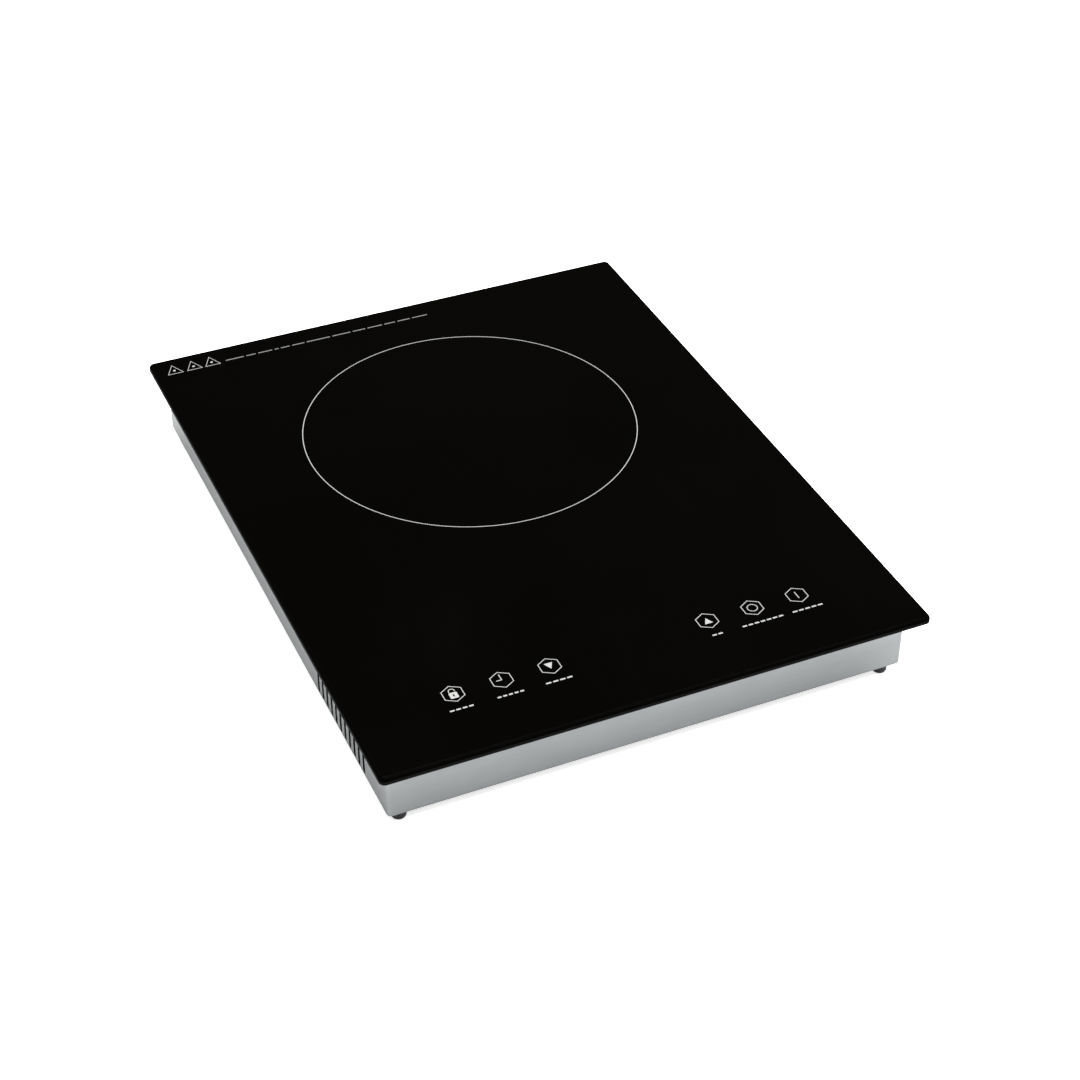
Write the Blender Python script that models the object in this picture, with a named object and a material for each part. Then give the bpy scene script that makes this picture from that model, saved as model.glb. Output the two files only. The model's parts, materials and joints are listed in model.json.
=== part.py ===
"""Built-in induction hob with one cooking zone.

A black glass-ceramic plate is bonded onto a sheet-steel case that hangs in a worktop cut-out.
Inside the case: a spring-loaded coil stack under the zone, a power board with its heat sink,
a blower that draws air through the floor and pushes it out of the side slots, and a touch
control board under the front of the plate.

Frame: metres, +Z up, front edge towards -Y. The origin is on the surface under the feet, below
the middle of the plate.
"""

import math

import bmesh
import bpy
from mathutils import Matrix, Vector

MM = 0.001
GAP = 0.3 * MM  # clearance between neighbouring solids
RUNNING_GAP = 0.1 * MM  # radial clearance of the fan shaft

# Driving dimensions
GLASS_W = 300 * MM
GLASS_D = 390 * MM
GLASS_T = 4 * MM
GLASS_CORNER_R = 4 * MM
OVERHANG_SIDE = 7.1 * MM
OVERHANG_END = 13 * MM
CASE_H = 34.8 * MM
SHEET_T = 0.8 * MM
FOOT_H = 7.2 * MM
ZONE_Y = 58.5 * MM
KEY_Y = -151.5 * MM
KEY_X = [side * x * MM for side in (-1, 1) for x in (96, 70, 44)]

# Levels that follow from them
CASE_W = GLASS_W - 2 * OVERHANG_SIDE
CASE_D = GLASS_D - 2 * OVERHANG_END
CASE_Z = FOOT_H
FLOOR_Z = CASE_Z + SHEET_T
GLASS_Z = CASE_Z + CASE_H
TOP_Z = GLASS_Z + GLASS_T

# Case
CASE_CORNER_R = 2.4 * MM
CASE_EDGE_R = 1.6 * MM
RIM_W = 8 * MM
SEAL_T = 0.8 * MM
RIM_TOP_Z = GLASS_Z - 2 * GAP - SEAL_T
SLOT_COUNT = 11
SLOT_PITCH = 6.62 * MM
SLOT_W = 2.5 * MM
SLOT_MID_Y = -116.2 * MM
SLOT_LOW_Z = CASE_Z + 2.2 * MM
SLOT_HIGH_Z = CASE_Z + 28 * MM

# Feet
FOOT_R = 4.3 * MM
FOOT_X = CASE_W / 2 - 8 * MM
FOOT_Y = CASE_D / 2 - 7.2 * MM
FOOT_HOLE_R = 2.5 * MM

# Cable inlet in the back wall
INLET_X = 100 * MM
INLET_Z = 24 * MM
INLET_HOLE_R = 8.3 * MM
INLET_BORE_R = 5 * MM

# Coil stack
COIL_R = 82 * MM
COIL_HOLE_R = 20 * MM
COIL_T = 4.9 * MM
MICA_T = 0.5 * MM
MICA_Z = GLASS_Z - 1.1 * MM - MICA_T
COIL_Z = MICA_Z - GAP - COIL_T
FORMER_T = 2 * MM
FORMER_Z = COIL_Z - GAP - FORMER_T
FERRITE_T = 3.6 * MM
FERRITE_Z = FORMER_Z - GAP - FERRITE_T
TRAY_T = 1 * MM
TRAY_Z = FERRITE_Z - GAP - TRAY_T
STACK_R = 85 * MM
SPRING_RING_R = 80 * MM
FERRITE_COUNT = 8

# Power board
BOARD_X = -41 * MM
BOARD_Y = -110 * MM
BOARD_W = 154 * MM
BOARD_D = 124 * MM
BOARD_T = 1.6 * MM
BOARD_Z = FLOOR_Z + 5 * MM
BOARD_TOP_Z = BOARD_Z + BOARD_T
SINK_X = -20 * MM
SINK_Y = -122 * MM
SINK_L = 100 * MM
SINK_W = 48 * MM
SINK_Z = BOARD_TOP_Z + 5.4 * MM
SINK_H = 12.4 * MM
SINK_BASE_T = 3.4 * MM
FIN_COUNT = 11
PACKAGE_T = 4.8 * MM

# Blower
FAN_X = 92 * MM
FAN_Y = -102 * MM
FAN_SIZE = 88 * MM
FAN_CAVITY_R = 40 * MM
FAN_INLET_R = 31 * MM
FAN_Z = FLOOR_Z + GAP
FAN_TOP_Z = 31 * MM
FAN_WALL = 2 * MM
ROTOR_R = 37 * MM
ROTOR_Z = FAN_Z + FAN_WALL + 1.6 * MM
ROTOR_TOP_Z = 26.5 * MM
HUB_R = 15 * MM
HUB_INNER_R = 13.5 * MM
SHAFT_R = 1.5 * MM
BLADE_COUNT = 20

# Controls
CONTROL_Y = -153 * MM
CONTROL_W = 230 * MM
CONTROL_D = 42 * MM
CONTROL_T = 1.4 * MM
CONTROL_TRAY_Z = 33.4 * MM
CONTROL_TRAY_T = 1.2 * MM
CONTROL_Z = CONTROL_TRAY_Z + CONTROL_TRAY_T + GAP
CONTROL_TOP_Z = CONTROL_Z + CONTROL_T

# Screws driven up through the case floor
SCREW_HEAD_R = 3 * MM
SCREW_HEAD_H = 1.8 * MM
SCREW_SHANK_R = 1.4 * MM
SCREW_HOLE_R = 1.8 * MM
TRAY_SCREWS = [(BOARD_X + sx * 70 * MM, BOARD_Y + sy * 55 * MM) for sx in (-1, 1) for sy in (-1, 1)]
FAN_SCREWS = [(FAN_X + sx * 38 * MM, FAN_Y + sy * 38 * MM) for sx, sy in ((1, -1), (1, 1), (-1, 1))]

FINISHES = {
    "black_glass": ((0.004, 0.004, 0.005), 0.06, 0.0),
    "sheet_steel": ((0.56, 0.58, 0.58), 0.42, 0.9),
    "black_rubber": ((0.018, 0.018, 0.018), 0.75, 0.0),
    "silicone": ((0.03, 0.03, 0.03), 0.6, 0.0),
    "copper_litz": ((0.55, 0.22, 0.10), 0.45, 0.9),
    "ferrite": ((0.05, 0.05, 0.055), 0.55, 0.1),
    "mica": ((0.62, 0.55, 0.42), 0.5, 0.0),
    "aluminium": ((0.72, 0.73, 0.74), 0.35, 1.0),
    "spring_steel": ((0.62, 0.62, 0.63), 0.3, 1.0),
    "board_green": ((0.03, 0.16, 0.07), 0.45, 0.0),
    "black_plastic": ((0.025, 0.025, 0.027), 0.5, 0.0),
    "white_plastic": ((0.75, 0.75, 0.72), 0.5, 0.0),
    "grey_plastic": ((0.25, 0.26, 0.27), 0.5, 0.0),
    "capacitor_blue": ((0.05, 0.12, 0.35), 0.4, 0.0),
    "cable_black": ((0.02, 0.02, 0.02), 0.55, 0.0),
    "cable_white": ((0.75, 0.73, 0.68), 0.55, 0.0),
    "cable_red": ((0.45, 0.03, 0.02), 0.5, 0.0),
}


# ---------------------------------------------------------------- helpers


def clear_scene():
    for obj in list(bpy.data.objects):
        bpy.data.objects.remove(obj, do_unlink=True)


def finish(name):
    """Return the Principled material called name, made on first use."""
    found = bpy.data.materials.get(name)
    if found:
        return found
    colour, roughness, metallic = FINISHES[name]
    made = bpy.data.materials.new(name)
    made.use_nodes = True
    shader = made.node_tree.nodes["Principled BSDF"]
    shader.inputs["Base Color"].default_value = (*colour, 1)
    shader.inputs["Roughness"].default_value = roughness
    shader.inputs["Metallic"].default_value = metallic
    return made


def solid(name, bm, material, smooth_angle=35):
    """Turn a bmesh into the named object."""
    mesh = bpy.data.meshes.new(name)
    bm.to_mesh(mesh)
    bm.free()
    mesh.shade_smooth()
    mesh.set_sharp_from_angle(angle=math.radians(smooth_angle))
    mesh.materials.append(finish(material))
    obj = bpy.data.objects.new(name, mesh)
    bpy.context.collection.objects.link(obj)
    return obj


def combine(obj, bm, operation):
    """Cut the shape in bm out of obj, or weld it on."""
    tool = solid(f"{obj.name}_{operation.lower()}_{len(obj.modifiers)}", bm, "grey_plastic")
    tool.hide_render = True
    tool.display_type = "WIRE"
    modifier = obj.modifiers.new(tool.name, "BOOLEAN")
    modifier.operation = operation
    modifier.solver = "EXACT"
    modifier.object = tool


def loft(loops, ring=False):
    """Skin a stack of equal-length loops; cap both ends, or close the stack into a ring."""
    bm = bmesh.new()
    rows = [[bm.verts.new(point) for point in loop] for loop in loops]
    pairs = list(zip(rows, rows[1:]))
    if ring:
        pairs.append((rows[-1], rows[0]))
    count = len(rows[0])
    for low, high in pairs:
        for i in range(count):
            j = (i + 1) % count
            bm.faces.new((low[i], low[j], high[j], high[i]))
    if not ring:
        bm.faces.new(rows[0])
        bm.faces.new(rows[-1])
    bmesh.ops.recalc_face_normals(bm, faces=bm.faces)
    return bm


def joined(shapes):
    """Gather separate shapes into one bmesh, to serve as one cutter or one weld-on."""
    whole = bmesh.new()
    for shape in shapes:
        mesh = bpy.data.meshes.new("shape")
        shape.to_mesh(mesh)
        shape.free()
        whole.from_mesh(mesh)
        bpy.data.meshes.remove(mesh)
    return whole


def arc(centre, radius, start, stop, steps):
    """Points on an arc, angles in degrees, both ends included."""
    angles = [math.radians(start + (stop - start) * i / steps) for i in range(steps + 1)]
    return [(centre[0] + radius * math.cos(a), centre[1] + radius * math.sin(a)) for a in angles]


def circle(radius, centre=(0, 0), steps=32):
    return arc(centre, radius, 0, 360, steps)[:-1]


def rounded_rect(width, depth, radius, centre=(0, 0), steps=5):
    """Outline of a rectangle with round corners, anticlockwise."""
    points = []
    for sx, sy, start in ((1, 1, 0), (-1, 1, 90), (-1, -1, 180), (1, -1, 270)):
        corner = (centre[0] + sx * (width / 2 - radius), centre[1] + sy * (depth / 2 - radius))
        points += arc(corner, radius, start, start + 90, steps)
    return points


def stadium(length, width, centre=(0, 0), steps=5):
    """Outline of a slot with round ends, long side along the second axis."""
    reach = (length - width) / 2
    top = arc((centre[0], centre[1] + reach), width / 2, 0, 180, steps)
    bottom = arc((centre[0], centre[1] - reach), width / 2, 180, 360, steps)
    return top + bottom


def at(outline, height):
    return [(x, y, height) for x, y in outline]


def prism(outline, low, high):
    return loft([at(outline, low), at(outline, high)])


def block(x_range, y_range, z_range):
    x0, x1 = x_range
    y0, y1 = y_range
    return prism([(x0, y0), (x1, y0), (x1, y1), (x0, y1)], *z_range)


def centred_block(centre, size):
    ranges = [(c - s / 2, c + s / 2) for c, s in zip(centre, size)]
    return block(*ranges)


def turned(profile, centre=(0, 0), steps=32, ring=False):
    """Turn (radius, height) points about the vertical through centre."""
    return loft([at(circle(r, centre, steps), z) for r, z in profile], ring)


def cylinder(radius, low, high, centre=(0, 0), steps=32):
    return turned([(radius, low), (radius, high)], centre, steps)


def swung(bm, axis, degrees, origin=(0, 0, 0)):
    """Rotate a bmesh about an axis through origin."""
    turn = Matrix.Rotation(math.radians(degrees), 4, axis)
    shift = Matrix.Translation(Vector(origin))
    bm.transform(shift @ turn @ shift.inverted())
    return bm


def softened(obj, width, segments=2):
    """Break the sharp edges of a plain block."""
    bevel = obj.modifiers.new("edges", "BEVEL")
    bevel.width = width
    bevel.segments = segments
    bevel.limit_method = "ANGLE"
    return obj


def smooth_route(points, per_span=5):
    """Catmull-Rom curve through the points."""
    knots = [Vector(p) for p in points]
    padded = [2 * knots[0] - knots[1]] + knots + [2 * knots[-1] - knots[-2]]
    route = []
    for a, b, c, d in zip(padded, padded[1:], padded[2:], padded[3:]):
        for i in range(per_span):
            t = i / per_span
            curve = 2 * b + (c - a) * t + (2 * a - 5 * b + 4 * c - d) * t**2
            route.append((curve + (3 * b - a - 3 * c + d) * t**3) / 2)
    return route + [knots[-1]]


def tube(name, points, radius, material, resolution=2):
    """Round wire or lead along the points."""
    curve = bpy.data.curves.new(name, "CURVE")
    curve.dimensions = "3D"
    curve.bevel_depth = radius
    curve.bevel_resolution = resolution
    curve.use_fill_caps = True
    spline = curve.splines.new("POLY")
    spline.points.add(len(points) - 1)
    for target, point in zip(spline.points, points):
        target.co = (*point, 1)
    curve.materials.append(finish(material))
    obj = bpy.data.objects.new(name, curve)
    bpy.context.collection.objects.link(obj)
    return obj


def helix(centre, radii, low, high, turns, per_turn):
    """Points along a coil spring; radii are at its foot and its head."""
    count = int(turns * per_turn)
    points = []
    for i in range(count + 1):
        t = i / count
        radius = radii[0] + (radii[1] - radii[0]) * t
        angle = 2 * math.pi * turns * t
        offset = Vector((radius * math.cos(angle), radius * math.sin(angle), 0))
        points.append(Vector((centre[0], centre[1], low + (high - low) * t)) + offset)
    return points


def ring_places(count, radius, centre, start=0.0):
    """(x, y, angle in degrees) of places spread evenly on a circle."""
    places = []
    for i in range(count):
        angle = start + 360 * i / count
        x = centre[0] + radius * math.cos(math.radians(angle))
        y = centre[1] + radius * math.sin(math.radians(angle))
        places.append((x, y, angle))
    return places


ZONE = (0.0, ZONE_Y)
FAN = (FAN_X, FAN_Y)
SPRING_PLACES = ring_places(4, SPRING_RING_R, ZONE, 45)


# ---------------------------------------------------------------- glass, seal, case, feet


def glass_plate():
    """Plate with ground edges: a small flat below, a rounded pencil edge above."""
    steps = 4
    pencil = 1.2 * MM
    profile = [(0.5 * MM, GLASS_Z), (0.0, GLASS_Z + 0.5 * MM)]
    for i in range(steps + 1):
        angle = math.radians(90 * i / steps)
        profile.append((pencil * (1 - math.cos(angle)), TOP_Z - pencil * (1 - math.sin(angle))))
    loops = []
    for inset, z in profile:
        outline = rounded_rect(GLASS_W - 2 * inset, GLASS_D - 2 * inset, GLASS_CORNER_R - inset)
        loops.append(at(outline, z))
    solid("glass_plate", loft(loops), "black_glass")


def glass_seal():
    """Flat bead of silicone that bonds the plate to the case rim."""
    low = RIM_TOP_Z + GAP
    outer, inner = 0.6 * MM, RIM_W - 0.6 * MM
    loops = []
    for inset, z in ((outer, low), (outer, low + SEAL_T), (inner, low + SEAL_T), (inner, low)):
        radius = max(CASE_CORNER_R - inset, 0.8 * MM)
        loops.append(at(rounded_rect(CASE_W - 2 * inset, CASE_D - 2 * inset, radius), z))
    solid("glass_seal", loft(loops, ring=True), "silicone")


def pan_profile():
    """(inset, height) points: inner floor, up the inside, round the rim, down the outside."""
    inner_r = CASE_EDGE_R - SHEET_T
    points = [(CASE_EDGE_R, FLOOR_Z)]
    points += arc((CASE_EDGE_R, FLOOR_Z + inner_r), inner_r, -120, -180, 2)
    points += [(SHEET_T, RIM_TOP_Z - SHEET_T), (RIM_W, RIM_TOP_Z - SHEET_T), (RIM_W, RIM_TOP_Z)]
    points += arc((CASE_EDGE_R, RIM_TOP_Z - CASE_EDGE_R), CASE_EDGE_R, 90, 180, 3)
    points += arc((CASE_EDGE_R, CASE_Z + CASE_EDGE_R), CASE_EDGE_R, 180, 270, 3)
    return points


def side_slots():
    """Vent slots through both side walls, near the front."""
    length = SLOT_HIGH_Z - SLOT_LOW_Z
    cutters = []
    for side in (-1, 1):
        wall_x = side * (CASE_W / 2 - SHEET_T / 2)
        for i in range(SLOT_COUNT):
            y = SLOT_MID_Y + (i - (SLOT_COUNT - 1) / 2) * SLOT_PITCH
            slot = prism(stadium(length, SLOT_W, steps=3), -2 * SHEET_T, 2 * SHEET_T)
            swung(slot, "X", 90)
            swung(slot, "Z", 90)
            slot.transform(Matrix.Translation((wall_x, y, SLOT_LOW_Z + length / 2)))
            cutters.append(slot)
    return cutters


def floor_grille():
    """Parallel slots inside a circle, under the blower's inlet."""
    pitch, width = 6 * MM, 3.2 * MM
    reach = FAN_INLET_R - 1 * MM
    cutters = []
    rows = int(reach / pitch)
    for i in range(-rows, rows + 1):
        x = i * pitch
        length = 2 * math.sqrt(reach**2 - x**2)
        if length > 3 * width:
            outline = stadium(length, width, (FAN_X + x, FAN_Y), 3)
            cutters.append(prism(outline, CASE_Z - SHEET_T, FLOOR_Z + SHEET_T))
    return cutters


def floor_holes():
    holes = [(x, y, SCREW_HOLE_R) for x, y in TRAY_SCREWS + FAN_SCREWS]
    holes += [(sx * FOOT_X, sy * FOOT_Y, FOOT_HOLE_R) for sx in (-1, 1) for sy in (-1, 1)]
    low, high = CASE_Z - SHEET_T, FLOOR_Z + SHEET_T
    return [cylinder(r, low, high, (x, y), 12) for x, y, r in holes]


def inlet_hole():
    hole = cylinder(INLET_HOLE_R, -2 * SHEET_T, 2 * SHEET_T, steps=24)
    swung(hole, "X", 90)
    hole.transform(Matrix.Translation((INLET_X, CASE_D / 2 - SHEET_T / 2, INLET_Z)))
    return [hole]


def case_pan():
    """Folded sheet-steel case, open above, with a rim turned inwards for the plate."""
    loops = []
    for inset, z in pan_profile():
        radius = max(CASE_CORNER_R - inset, 0.8 * MM)
        loops.append(at(rounded_rect(CASE_W - 2 * inset, CASE_D - 2 * inset, radius, steps=4), z))
    pan = solid("case_pan", loft(loops), "sheet_steel", smooth_angle=20)
    combine(pan, joined(side_slots() + floor_grille() + floor_holes() + inlet_hole()), "DIFFERENCE")


def feet():
    """Push-in rubber feet: a domed pad, a neck through the floor and a barb inside."""
    dome = 1.4 * MM
    pad_top = CASE_Z - GAP
    barb = FLOOR_Z + GAP
    profile = arc((FOOT_R - 0.4 * MM - dome, dome), dome, -90, 0, 3)
    profile += [(FOOT_R, pad_top - 1 * MM), (FOOT_R - 0.5 * MM, pad_top)]
    profile += [(FOOT_HOLE_R - GAP, pad_top), (FOOT_HOLE_R - GAP, barb)]
    profile += [(3.1 * MM, barb), (3.1 * MM, barb + 0.8 * MM), (1.7 * MM, barb + 2.6 * MM)]
    for row, sy in (("front", -1), ("rear", 1)):
        for side, sx in (("left", -1), ("right", 1)):
            shape = turned(profile, (sx * FOOT_X, sy * FOOT_Y), 16)
            solid(f"foot_{row}_{side}", shape, "black_rubber")


def cable_grommet():
    """Rubber bush that lines the cable inlet; the cable itself isn't part of the object."""
    neck = INLET_HOLE_R - GAP
    half = SHEET_T / 2 + GAP
    lip = 2 * MM
    profile = [
        (INLET_BORE_R, -half - lip), (neck + 1.8 * MM, -half - lip), (neck + 2.6 * MM, -half - lip / 2),
        (neck + 2.6 * MM, -half), (neck, -half), (neck, half),
        (neck + 2.6 * MM, half), (neck + 2.6 * MM, half + lip / 2), (neck + 1.4 * MM, half + lip),
        (INLET_BORE_R, half + lip),
    ]
    bush = turned(profile, steps=24, ring=True)
    swung(bush, "X", -90)
    bush.transform(Matrix.Translation((INLET_X, CASE_D / 2 - SHEET_T / 2, INLET_Z)))
    solid("cable_grommet", bush, "black_rubber")


# ---------------------------------------------------------------- coil stack


def mica_disc():
    solid("mica_disc", cylinder(STACK_R, MICA_Z, MICA_Z + MICA_T, ZONE, 40), "mica")
    hole = cylinder(8 * MM, MICA_Z - MICA_T, MICA_Z + 2 * MICA_T, ZONE, 16)
    combine(bpy.data.objects["mica_disc"], hole, "DIFFERENCE")


def induction_coil():
    """Flat winding of litz wire, rounded at both edges."""
    edge = COIL_T / 2
    mid = COIL_Z + edge
    profile = arc((COIL_R - edge, mid), edge, -90, 90, 3)
    profile += arc((COIL_HOLE_R + edge, mid), edge, 90, 270, 3)
    solid("induction_coil", turned(profile, ZONE, 48, ring=True), "copper_litz")


def sector(inner, outer, centre_angle, half_angle, steps=3):
    """Outline of a piece of a ring round the zone's centre."""
    start, stop = centre_angle - half_angle, centre_angle + half_angle
    return arc(ZONE, outer, start, stop, steps) + arc(ZONE, inner, stop, start, steps)


def coil_former():
    """Plastic wheel that the winding lies on: hub, eight spokes and a rim."""
    low, high = FORMER_Z, FORMER_Z + FORMER_T
    profile = [(STACK_R, low), (STACK_R, high), (17 * MM, high), (17 * MM, low)]
    former = solid("coil_former", turned(profile, ZONE, 40, ring=True), "black_plastic")
    windows = []
    for _, _, angle in ring_places(FERRITE_COUNT, 1, ZONE):
        outline = sector(27 * MM, 76 * MM, angle, 14)
        windows.append(prism(outline, low - FORMER_T, high + FORMER_T))
    combine(former, joined(windows), "DIFFERENCE")


def ferrite_bars():
    """Flux-guide bars under the former's spokes."""
    length, width = 48 * MM, 9 * MM
    start = 180 / FERRITE_COUNT
    for i, (x, y, angle) in enumerate(ring_places(FERRITE_COUNT, 52 * MM, ZONE, start)):
        bar = centred_block((0, 0, FERRITE_Z + FERRITE_T / 2), (length, width, FERRITE_T))
        swung(bar, "Z", angle)
        bar.transform(Matrix.Translation((x, y, 0)))
        softened(solid(f"ferrite_bar_{i + 1}", bar, "ferrite"), 0.5 * MM, 1)


def coil_tray():
    """Aluminium dish that carries the stack on four pins."""
    low, high, lip = TRAY_Z, TRAY_Z + TRAY_T, 3 * MM
    profile = [
        (STACK_R, low), (STACK_R, high + lip), (STACK_R - TRAY_T, high + lip), (STACK_R - TRAY_T, high),
        (16 * MM, high), (16 * MM, low),
    ]
    tray = solid("coil_tray", turned(profile, ZONE, 40, ring=True), "aluminium")
    foot = FLOOR_Z + 1 * MM
    pins = [cylinder(2.2 * MM, foot, low + TRAY_T / 2, (x, y), 12) for x, y, _ in SPRING_PLACES]
    combine(tray, joined(pins), "UNION")


def tray_springs():
    """Compression springs round the tray's pins, which press the stack up to the plate."""
    wire = 0.6 * MM
    low = FLOOR_Z + GAP + wire
    high = TRAY_Z - GAP - wire
    for i, (x, y, _) in enumerate(SPRING_PLACES):
        route = helix((x, y), (4 * MM, 4 * MM), low, high, 4, 10)
        tube(f"tray_spring_{i + 1}", route, wire, "spring_steel", 0)


def coil_sensor():
    """Silicone sleeve in the coil's centre with the temperature sensor on top."""
    base = TRAY_Z - 1 * MM
    cup = GLASS_Z - 3.4 * MM
    profile = [
        (9 * MM, base), (9 * MM, base + 2 * MM), (6 * MM, base + 3.5 * MM), (6 * MM, cup),
        (4.2 * MM, cup), (4.2 * MM, cup - 3 * MM),
    ]
    solid("sensor_sleeve", turned(profile, ZONE, 16), "silicone")
    low = cup - 3 * MM + GAP
    pill = [(3.6 * MM, low), (3.6 * MM, cup + 0.8 * MM), (5.4 * MM, cup + 1.2 * MM)]
    pill += [(5.4 * MM, GLASS_Z - 1.3 * MM), (4.6 * MM, GLASS_Z - 0.5 * MM)]
    solid("temperature_sensor", turned(pill, ZONE, 16), "aluminium")


# ---------------------------------------------------------------- power electronics


def board_tray():
    """Plastic base of the power board, with a boss at each screw."""
    low = FLOOR_Z + GAP
    outline = rounded_rect(BOARD_W, BOARD_D, 4 * MM, (BOARD_X, BOARD_Y), 3)
    tray = solid("board_tray", prism(outline, low, low + 1.4 * MM), "black_plastic")
    boss_top = BOARD_Z - GAP
    bosses = [cylinder(4 * MM, low + 0.7 * MM, boss_top, place, 12) for place in TRAY_SCREWS]
    combine(tray, joined(bosses), "UNION")
    holes = [cylinder(SCREW_HOLE_R, low - 1 * MM, boss_top - 1 * MM, p, 12) for p in TRAY_SCREWS]
    combine(tray, joined(holes), "DIFFERENCE")


def power_board():
    outline = rounded_rect(BOARD_W - 2 * MM, BOARD_D - 2 * MM, 3 * MM, (BOARD_X, BOARD_Y), 3)
    solid("power_board", prism(outline, BOARD_Z, BOARD_TOP_Z), "board_green")


def heat_sink():
    """Extruded sink, its fins along the air stream from the blower to the side slots."""
    pitch = (SINK_W - 1.6 * MM) / (FIN_COUNT - 1)
    fin_t = 1.6 * MM
    base_top = SINK_Z + SINK_BASE_T
    top = SINK_Z + SINK_H
    outline = [(SINK_W / 2, SINK_Z), (SINK_W / 2, top)]
    for i in range(FIN_COUNT - 1):
        edge = SINK_W / 2 - fin_t - i * pitch
        gap_end = edge - (pitch - fin_t)
        outline += [(edge, top), (edge, base_top), (gap_end, base_top), (gap_end, top)]
    outline += [(-SINK_W / 2, top), (-SINK_W / 2, SINK_Z)]
    loops = []
    for x in (SINK_X - SINK_L / 2, SINK_X + SINK_L / 2):
        loops.append([(x, SINK_Y + y, z) for y, z in outline])
    solid("heat_sink", loft(loops), "aluminium")


def power_packages():
    """Switching transistor and bridge rectifier, flat under the heat sink."""
    mid_z = BOARD_TOP_Z + GAP + PACKAGE_T / 2
    for name, x, size in (("igbt_transistor", -44, (16, 21)), ("bridge_rectifier", 4, (30, 20))):
        place = (x * MM, SINK_Y, mid_z)
        shape = centred_block(place, (size[0] * MM, size[1] * MM, PACKAGE_T))
        softened(solid(name, shape, "black_plastic"), 0.5 * MM)


def capacitors():
    low = BOARD_TOP_Z + GAP
    rows = (
        ("smoothing_capacitor", -92, -72, (34, 22, 16)),
        ("resonance_capacitor", -50, -72, (34, 20, 15)),
    )
    for name, x, y, size in rows:
        width, depth, height = (s * MM for s in size)
        shape = centred_block((x * MM, y * MM, low + height / 2), (width, depth, height))
        softened(solid(name, shape, "capacitor_blue"), 1 * MM, 2)


def filter_choke():
    """Toroidal choke lying flat on the board."""
    tube_r, ring_r = 4.6 * MM, 9.5 * MM
    mid = BOARD_TOP_Z + GAP + tube_r
    profile = arc((ring_r, mid), tube_r, 0, 360, 8)[:-1]
    choke = turned(profile, (20 * MM, -78 * MM), 16, ring=True)
    solid("filter_choke", choke, "copper_litz")


def terminal_block():
    """Mains terminals behind the cable inlet: a stepped block with three wells."""
    mid_y = 152 * MM
    low = FLOOR_Z + GAP
    shape = centred_block((INLET_X, mid_y, low + 5 * MM), (42 * MM, 20 * MM, 10 * MM))
    terminal = solid("terminal_block", shape, "white_plastic")
    top = low + 15 * MM
    crest = centred_block((INLET_X, mid_y, low + 11 * MM), (42 * MM, 12 * MM, 8 * MM))
    combine(terminal, crest, "UNION")
    wells = []
    for offset in (-13 * MM, 0, 13 * MM):
        wells.append(cylinder(3.2 * MM, low + 7 * MM, top + 2 * MM, (INLET_X + offset, mid_y), 12))
    combine(terminal, joined(wells), "DIFFERENCE")


def screws():
    """Pan-head screws through the case floor, with a cross recess."""
    head_top = CASE_Z - GAP
    low = head_top - SCREW_HEAD_H
    profile = [(1.9 * MM, low), (2.7 * MM, low + 0.5 * MM), (SCREW_HEAD_R, low + 1.2 * MM)]
    profile += [(SCREW_HEAD_R, head_top), (SCREW_SHANK_R, head_top), (SCREW_SHANK_R, head_top + 4.6 * MM)]
    names = [(f"tray_screw_{i + 1}", place) for i, place in enumerate(TRAY_SCREWS)]
    names += [(f"fan_screw_{i + 1}", place) for i, place in enumerate(FAN_SCREWS)]
    for name, place in names:
        screw = solid(name, turned(profile, place, 12), "spring_steel")
        centre = (*place, low)
        long_side, short_side, depth = 3.2 * MM, 0.7 * MM, 1.6 * MM
        combine(screw, centred_block(centre, (long_side, short_side, depth)), "DIFFERENCE")
        combine(screw, centred_block(centre, (short_side, long_side, depth)), "DIFFERENCE")


# ---------------------------------------------------------------- blower


def fan_housing():
    """Scroll housing, with its inlet below and its outlet towards the heat sink."""
    outline = rounded_rect(FAN_SIZE, FAN_SIZE, 5 * MM, FAN, 3)
    housing = solid("fan_housing", prism(outline, FAN_Z, FAN_TOP_Z), "black_plastic")
    low, high = FAN_Z + FAN_WALL, FAN_TOP_Z - FAN_WALL
    combine(housing, cylinder(FAN_CAVITY_R, low, high, FAN, 48), "DIFFERENCE")
    duct_y = (FAN_Y - FAN_CAVITY_R + 1 * MM, FAN_Y - 4 * MM)
    duct = block((FAN_X - FAN_SIZE / 2 - 5 * MM, FAN_X), duct_y, (low, high))
    combine(housing, duct, "DIFFERENCE")
    combine(housing, cylinder(FAN_INLET_R, FAN_Z - 1 * MM, low + 1 * MM, FAN, 48), "DIFFERENCE")
    holes = [cylinder(SCREW_HOLE_R, FAN_Z - 1 * MM, FAN_Z + 5 * MM, p, 12) for p in FAN_SCREWS]
    combine(housing, joined(holes), "DIFFERENCE")


def fan_stator():
    """Motor stator under the housing's roof, bored for the shaft."""
    roof = FAN_TOP_Z - FAN_WALL - GAP
    bore = SHAFT_R + RUNNING_GAP
    low = ROTOR_Z + 3 * MM
    profile = [
        (bore, low), (11 * MM, low), (12.5 * MM, low + 1.5 * MM), (12.5 * MM, ROTOR_TOP_Z),
        (16 * MM, ROTOR_TOP_Z + 1 * MM), (16 * MM, roof), (bore, roof),
    ]
    solid("fan_stator", turned(profile, FAN, 24, ring=True), "grey_plastic")


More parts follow.
